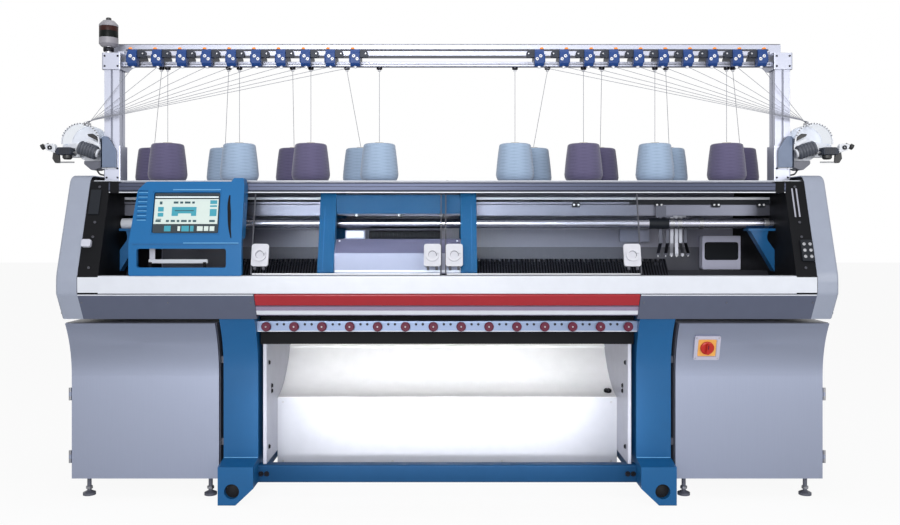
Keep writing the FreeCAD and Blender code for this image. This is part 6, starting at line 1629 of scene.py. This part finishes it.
    def frame(self) -> None:
        """Slot covers, end caps, corner castings' screws and post fittings of the yarn frame."""
        x, y, end = self.post_x, self.post_y, self.beam_half
        slots = joined([box((-end + 4, 4.2, 2200.5), (end - 4, 8.0, 2210.5)),
                        box((-1606, -115.6, 2109), (1606, -114.0, 2113.5))])
        add_piece("slot_covers", slots, Finishes.GASKET_GREY)
        top = box((-end - 61, 6, 2232.5), (end + 61, 79, 2237.0))
        add_piece("beam_top_cover", top, Finishes.CASE_GREY, bevel=1.0)
        end_box = box((end - 1, 5, 2178), (end + 62, 80, 2233))
        add_piece("beam_end_boxes", both_sides(end_box), Finishes.EXTRUSION, bevel=1.0)
        screw = cap_screw(5.0, 3.0, FORWARD)
        upper = [(x + dx, self.post_face, z) for dx in (-32, 32) for z in (2096, 2146)]
        lower = [(x + dx, self.post_face, z) for dx in (-32, 22) for z in (1545, 1590)]
        add_piece("post_screws", both_sides(at_each(screw, upper + lower)), Finishes.BLACK_OXIDE)
        strip = box((x - 4.6, y - 33.0, 1704), (x + 4.6, y - 31.0, 2078))
        add_piece("post_slot_strips", both_sides(strip), Finishes.TABLE_GREY)

    def steps(self) -> Steps:
        """This group's steps."""
        return (self.cones, self.table, self.control_units, self.eyelets, self.frame)


@dataclass
class SideFeeders(SubAssembly):
    """Friction feeders on the posts, their drums and the signal lamp."""

    drum: Pair = (1771.0, 1680.0)       # (x, z) of the right drum's middle
    drum_y: float = -152.0
    drum_tilt: float = 18.0
    arm_reach: float = 47.0     # from the drum's middle to each of the arms that carry it
    front_y: float = -192.0
    back_y: float = -60.0
    dome_shift: Pair = (22.0, 35.0)     # dome's middle from the drum's
    dome_r: float = 93.0
    studs: int = 17
    stud_sweep: float = 1.2     # radians from the dome's top to its last stud
    ring_ends: Pair = (-45.6, 44.0)     # feet of a drum's end rings along its axis
    post_face: float = 1697.0
    lamp_seat: Point = (-1690.0, -100.0, 0.0)
    coats: ClassVar[Coats] = (
        (Finishes.DRUM_GREY, ("right_feeder_drum", "left_feeder_drum")),)

    def flat(self, points: Profile, y0: float, y1: float) -> Shape:
        """Plate whose outline is given from the drum's middle, between two depths."""
        outline = rounded(points) + np.array(self.drum)
        return extruded(outline, Plane.XZ, y0, y1)

    def from_drum(self, across: float, y: float, up: float) -> Point:
        """Point given across and up from the drum's middle, at a Y of the machine."""
        return (self.drum[0] + across, y, self.drum[1] + up)

    def drum_axis(self) -> np.ndarray:
        """Direction of the right drum's axis, outward and up."""
        tilt = math.radians(self.drum_tilt)
        return np.array([math.cos(tilt), 0.0, math.sin(tilt)])

    def dome_arc(self, radius: float) -> np.ndarray:
        """Outline a little over half a circle about the dome's middle: (x, z) = middle + r (cos a, sin a).

        Args:
            radius: r.
        Returns:
            Its (x, z) points.
        """
        angle = np.linspace(-0.1, math.pi + 0.1, 40)
        middle = np.array(self.drum) + self.dome_shift
        return middle + radius * np.stack([np.cos(angle), np.sin(angle)], axis=1)

    def add(self, name: str, shape: Shape, finish: Finish, bevel: float = 0.0) -> None:
        """One piece of the feeders, on both sides of the machine."""
        add_piece(f"feeder_{name}", both_sides(shape), finish, bevel=bevel, replaces=("side_feeders",))

    def dome(self) -> None:
        """Clear half dome, its studded white rim, the white face behind and the rail the threads enter by."""
        r, front, wall = self.dome_r, self.front_y, self.back_y - 14
        shell = np.concatenate([self.dome_arc(r), self.dome_arc(r - 3)[::-1]])
        self.add("dome", extruded(shell, Plane.XZ, front, wall), Finishes.FEEDER_CLEAR)
        rim = np.concatenate([self.dome_arc(r + 1), self.dome_arc(r - 5)[::-1]])
        self.add("dome_rim", extruded(rim, Plane.XZ, front - 2, front + 4), Finishes.FEEDER_WHITE)
        stud = box((-1.6, front - 3.2, -3.0), (1.6, front + 4, 3.0))
        x, z = np.array(self.drum) + self.dome_shift
        upright = stud.moved((0, 0, r - 1.5))
        sweep = np.linspace(-self.stud_sweep, self.stud_sweep, self.studs)
        turns = joined([upright.turned(swing_matrix(a), (0, 0, 0)) for a in sweep])
        self.add("rim_studs", turns.moved((x, 0, z)), Finishes.BLACK_OXIDE)
        face = extruded(self.dome_arc(r - 0.5), Plane.XZ, wall, self.back_y)
        self.add("dome_face", face, Finishes.FEEDER_WHITE, 2.0)
        rail = box(self.from_drum(-5, front - 2, 116), self.from_drum(5, front + 66, 135))
        self.add("thread_rail", rail, Finishes.HINGE_STEEL, 1.0)

    def works(self) -> None:
        """Motor, knob, joint, tension bar and thread guide outside the drum."""
        y = self.front_y
        case = self.flat([(71, -25), (140, -25), (148, -11), (134, 11, 6), (71, 11, 4)], y, y + 70)
        self.add("motor_case", case, Finishes.UNIT_SLATE, 2.0)
        knob = revolved([(16, 0), (23, 7), (23, 20), (20, 22)], self.from_drum(97, y + 28, -47), UP, 24)
        self.add("motor_knob", knob, Finishes.LAMP_DARK)
        ribs = joined([self.flat([(x, -22), (x + 3, -22), (x + 3, 8), (x, 8)], y - 1.2, y + 1)
                       for x in np.arange(78.0, 130.0, 9.0)])
        self.add("motor_ribs", ribs, Finishes.LAMP_DARK)
        joint = self.flat([(132, -65), (154, -65, 6), (168, -43), (162, 1), (136, 1)], y + 18, y + 34)
        self.add("joint", joint, Finishes.LAMP_DARK, 2.0)
        bar = tube([self.from_drum(63, y + 26, -61), self.from_drum(140, y + 26, -61)], 3.5, 12)
        drive = tube([self.from_drum(54, self.drum_y, -11), self.from_drum(72, self.drum_y, -11)], 6.0, 14)
        self.add("bars", joined([bar, drive]), Finishes.HINGE_STEEL)
        guide = self.flat([(150, -17), (195, -1, 6), (207, 27, 8), (152, 31, 14)], y + 12, y + 40)
        self.add("thread_guide", guide, Finishes.FEEDER_WHITE, 3.0)
        eye = ring([(5, 0), (11, 0), (11, 5), (8, 8), (5, 8)], self.from_drum(176, y + 12, 10), FORWARD, 20)
        self.add("guide_eye", eye, Finishes.BLACK_OXIDE)
        axis = Vector((1, 0, -0.5)).normalized()
        tip = revolved([(6, -22), (6, 0), (14, 2), (14, 16)], self.from_drum(208.3, y + 26, 19), axis, 20)
        self.add("tip_knob", tip, Finishes.LAMP_DARK)
        web = self.flat([(54, -31), (140, -31), (140, 31, 10), (54, 41)], y + 69, self.back_y)
        self.add("web", web, Finishes.FEEDER_WHITE, 2.0)

    def mounting(self) -> None:
        """Back plate, slate post cover, dark yarn slot, drum arms, bracket and strut."""
        inner = self.post_face - self.drum[0]
        y = self.front_y
        back = self.flat([(inner + 11, -44), (40, -52, 10), (71, -31), (71, 40), (inner + 11, 44)],
                         self.back_y - 14, self.back_y)
        self.add("back_plate", back, Finishes.FEEDER_WHITE, 2.0)
        cover = self.flat([(inner - 67, -86), (inner + 11, -86), (inner + 11, 75, 20), (inner - 25, 66, 10),
                           (inner - 67, 0, 30)], y + 32, y + 43)
        side = box((self.post_face + 0.4, y + 32, 1594), (self.post_face + 11, self.back_y, 1740))
        self.add("post_cover", joined([cover, side]), Finishes.COVER_SLATE, 2.5)
        slot = self.flat([(3, 79, 3), (-25, 81, 4), (-74, 44, 4), (-70, 34, 3), (-3, 68, 3)], y + 34, y + 42)
        self.add("yarn_slot", slot, Finishes.LAMP_DARK, 1.0)
        band = self.flat([(0, 62, 3), (-68, 26, 3), (-74, -6, 3), (-62, -4, 3), (-56, 14, 6), (0, 42, 6)],
                         y + 36, y + 42)
        self.add("white_band", band, Finishes.FEEDER_WHITE, 1.0)
        along = self.drum_axis()
        slope = swing_matrix(-math.radians(self.drum_tilt))
        arms = []
        for end in (-1, 1):
            seat = np.array(self.from_drum(0.0, self.drum_y, 0.0)) + along * (end * self.arm_reach)
            start = -9.0 if end < 0 else 0.0
            arms.append(revolved([(22, 0), (22, 9)], seat, end * along, 24))
            arms.append(box((start, 0, -20), (start + 9, 80, 20)).turned(slope, (0, 0, 0)).moved(seat))
        self.add("drum_arms", joined(arms), Finishes.FEEDER_WHITE, 1.2)
        bracket = self.flat([(inner, -80), (-31, -97), (-11, -97, 8), (23, -68, 10), (23, -53), (inner, -53)],
                            y + 45, self.back_y)
        self.add("bracket", bracket, Finishes.CASE_GREY, 2.0)
        self.add("bracket_bar", box((1632, y + 33, 1588), (1700, y + 45, 1592)), Finishes.LID_SILVER)
        bends = ((-20, -90), (-36, -114), (-55, -120), (-67, -124))
        bend = [self.from_drum(across, -100, up) for across, up in bends]
        self.add("strut", tube(curved_path(bend), 4.0), Finishes.LAMP_DARK)

    def signal_lamp(self) -> None:
        """Lamp on the left post: button, cone cap, two dark lenses, base and stem."""
        bands = (
            ("lamp_stem", [(18, 2162), (18, 2199), (24, 2199), (24, 2194)], Finishes.HINGE_STEEL),
            ("lamp_joint", [(24, 2176), (26, 2180), (26, 2192), (24, 2196)], Finishes.BLACK_OXIDE),
            ("lamp_base", [(30, 2198), (36, 2202), (46, 2213), (46, 2243)], Finishes.LAMP_GREY),
            ("lamp_green_lens", [(45, 2243), (45.5, 2246), (45.5, 2273), (45, 2276)], Finishes.LENS_GREEN),
            ("lamp_red_lens", [(45, 2276), (45.5, 2279), (45.5, 2297), (45, 2300)], Finishes.LENS_RED),
            ("lamp_cap", [(46, 2300), (46, 2308), (43, 2313), (28, 2329), (16, 2332)], Finishes.LAMP_GREY),
            ("lamp_button", [(13, 2331), (13, 2342), (10, 2345)], Finishes.LAMP_DARK))
        for name, profile, finish in bands:
            shape = revolved(profile, self.lamp_seat, UP, 48)
            add_piece(name, shape, finish, replaces=("signal_lamp",))

    def drum_ends(self) -> None:
        """Bright rings at both ends of each ribbed drum."""
        profile = [(8, 0), (24, 0), (24, 1.6), (8, 1.6)]
        for name, side in (("right_drum", 1.0), ("left_drum", -1.0)):
            axis = self.drum_axis() * (side, 1.0, 1.0)
            middle = np.array([side * self.drum[0], self.drum_y, self.drum[1]])
            rings = [ring(profile, middle + axis * end, axis, 28) for end in self.ring_ends]
            add_piece(f"{name}_end_rings", joined(rings), Finishes.HINGE_STEEL, name)

    def steps(self) -> Steps:
        """This group's steps."""
        return (self.dome, self.works, self.mounting, self.drum_ends, self.signal_lamp)


# ---------------- studio
@dataclass
class Studio:
    """Plain pale floor, soft lamps and the photograph's camera."""

    camera_y: float = -4450.0
    camera_z: float = 1286.0
    focal_px: float = 871.3     # focal length in pixels of the photograph
    width_px: float = 900.0
    height_px: float = 525.0
    centre_px: Pair = (447.2, 230.0)     # where the camera's axis meets the picture
    floor_half: float = 30000.0
    floor_glow: float = 0.93    # share of plain white in what the camera sees of the floor
    world_dim: float = 0.30     # world's strength as a light

    def camera(self) -> None:
        """Level camera before the machine's middle; its shift frames the machine as the photograph does."""
        data = bpy.data.cameras.new("camera")
        data.sensor_width = 36.0
        data.lens = data.sensor_width * self.focal_px / self.width_px
        data.shift_x = (self.width_px / 2 - self.centre_px[0]) / self.width_px
        data.shift_y = (self.centre_px[1] - self.height_px / 2) / self.width_px
        camera = bpy.data.objects.new("camera", data)
        camera.location = (0.0, self.camera_y * MM, self.camera_z * MM)
        camera.rotation_euler = (math.pi / 2, 0.0, 0.0)
        bpy.context.scene.collection.objects.link(camera)
        bpy.context.scene.camera = camera

    def floor(self) -> None:
        """Wide floor that reads white to the camera and still takes the machine's shadow."""
        half = self.floor_half * MM
        mesh = bpy.data.meshes.new("floor")
        mesh.from_pydata([(-half, -half, 0), (half, -half, 0), (half, half, 0), (-half, half, 0)], [],
                         [[0, 1, 2, 3]])
        paper = bpy.data.materials.new("white studio floor")
        paper.use_nodes = True
        tree = paper.node_tree
        tree.nodes.clear()
        matt = add_node(tree, "ShaderNodeBsdfDiffuse", {"Color": linear("#EDEDED")})
        glow = add_node(tree, "ShaderNodeEmission", {"Color": linear("#FFFFFF"), "Strength": 1.0})
        rays = add_node(tree, "ShaderNodeLightPath")
        seen = add_node(tree, "ShaderNodeMath", {
            0: rays.outputs["Is Camera Ray"], 1: self.floor_glow}, operation="MULTIPLY")
        mixed = add_node(tree, "ShaderNodeMixShader", {
            0: seen.outputs[0], 1: matt.outputs[0], 2: glow.outputs[0]})
        add_node(tree, "ShaderNodeOutputMaterial", {"Surface": mixed.outputs[0]})
        mesh.materials.append(paper)
        floor = bpy.data.objects.new("floor", mesh)
        bpy.context.scene.collection.objects.link(floor)

    def lamp(self, name: str, place: Coords, aim: Coords, size: Pair,
             watts: float, spread_deg: float = 180.0) -> None:
        """One soft box at a place, aimed at a point, its light held within a spread.

        Args:
            name: the lamp's name.
            place: where it stands.
            aim: the point it faces.
            size: width and height.
            watts: its power.
            spread_deg: how wide its light goes.
        """
        data = bpy.data.lights.new(name, "AREA")
        data.shape = "RECTANGLE"
        data.size = size[0] * MM
        data.size_y = size[1] * MM
        data.energy = watts
        data.spread = math.radians(spread_deg)
        lamp = bpy.data.objects.new(name, data)
        lamp.location = Vector(place) * MM
        lamp.rotation_euler = (Vector(aim) - Vector(place)).to_track_quat("-Z", "Y").to_euler()
        bpy.context.scene.collection.objects.link(lamp)

    def light(self) -> None:
        """White surroundings to the camera, glossy and clear surfaces, and a dimmer world for the light."""
        world = bpy.data.worlds.new("studio")
        world.use_nodes = True
        tree = world.node_tree
        tree.nodes.clear()
        rays = add_node(tree, "ShaderNodeLightPath")
        seen = add_node(tree, "ShaderNodeMath", {
            0: rays.outputs["Is Camera Ray"], 1: rays.outputs["Is Transmission Ray"]}, operation="MAXIMUM")
        either = add_node(tree, "ShaderNodeMath", {
            0: seen.outputs[0], 1: rays.outputs["Is Glossy Ray"]}, operation="MAXIMUM")
        strength = add_node(tree, "ShaderNodeMapRange", {0: either.outputs[0], 3: self.world_dim, 4: 1.0})
        sky = add_node(tree, "ShaderNodeBackground", {
            "Color": linear("#FFFFFF"), "Strength": strength.outputs[0]})
        add_node(tree, "ShaderNodeOutputWorld", {"Surface": sky.outputs[0]})
        bpy.context.scene.world = world
        self.lamp("overhead soft box", (0, -1200, 5200), (0, 0, 900), (4200, 4200), 90)
        self.lamp("front soft box", (-700, -6200, 2100), (0, 0, 950), (2400, 2400), 230)
        self.lamp("right soft box", (3600, -4600, 1900), (300, 0, 900), (2000, 2000), 55)
        self.lamp("chute lamp", (0, -1700, 330), (0, -100, 400), (1500, 120), 4.4, 30)

    def build(self) -> None:
        """Camera, floor, lamps and the plain view transform."""
        self.camera()
        self.floor()
        self.light()
        bpy.context.scene.view_settings.view_transform = "Standard"


def main() -> None:
    """Load the frame, build every sub-assembly in order, then the studio."""
    logging.basicConfig(level=logging.INFO, format="%(message)s")
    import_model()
    for part in (Body(), Base(), KnittingHead(), Doors(), TakeDown(), Monitor(), YarnStand(), SideFeeders()):
        LOG.info("-- %s", type(part).__name__)
        part.build()
    Studio().build()


if __name__ == "__main__":
    main()
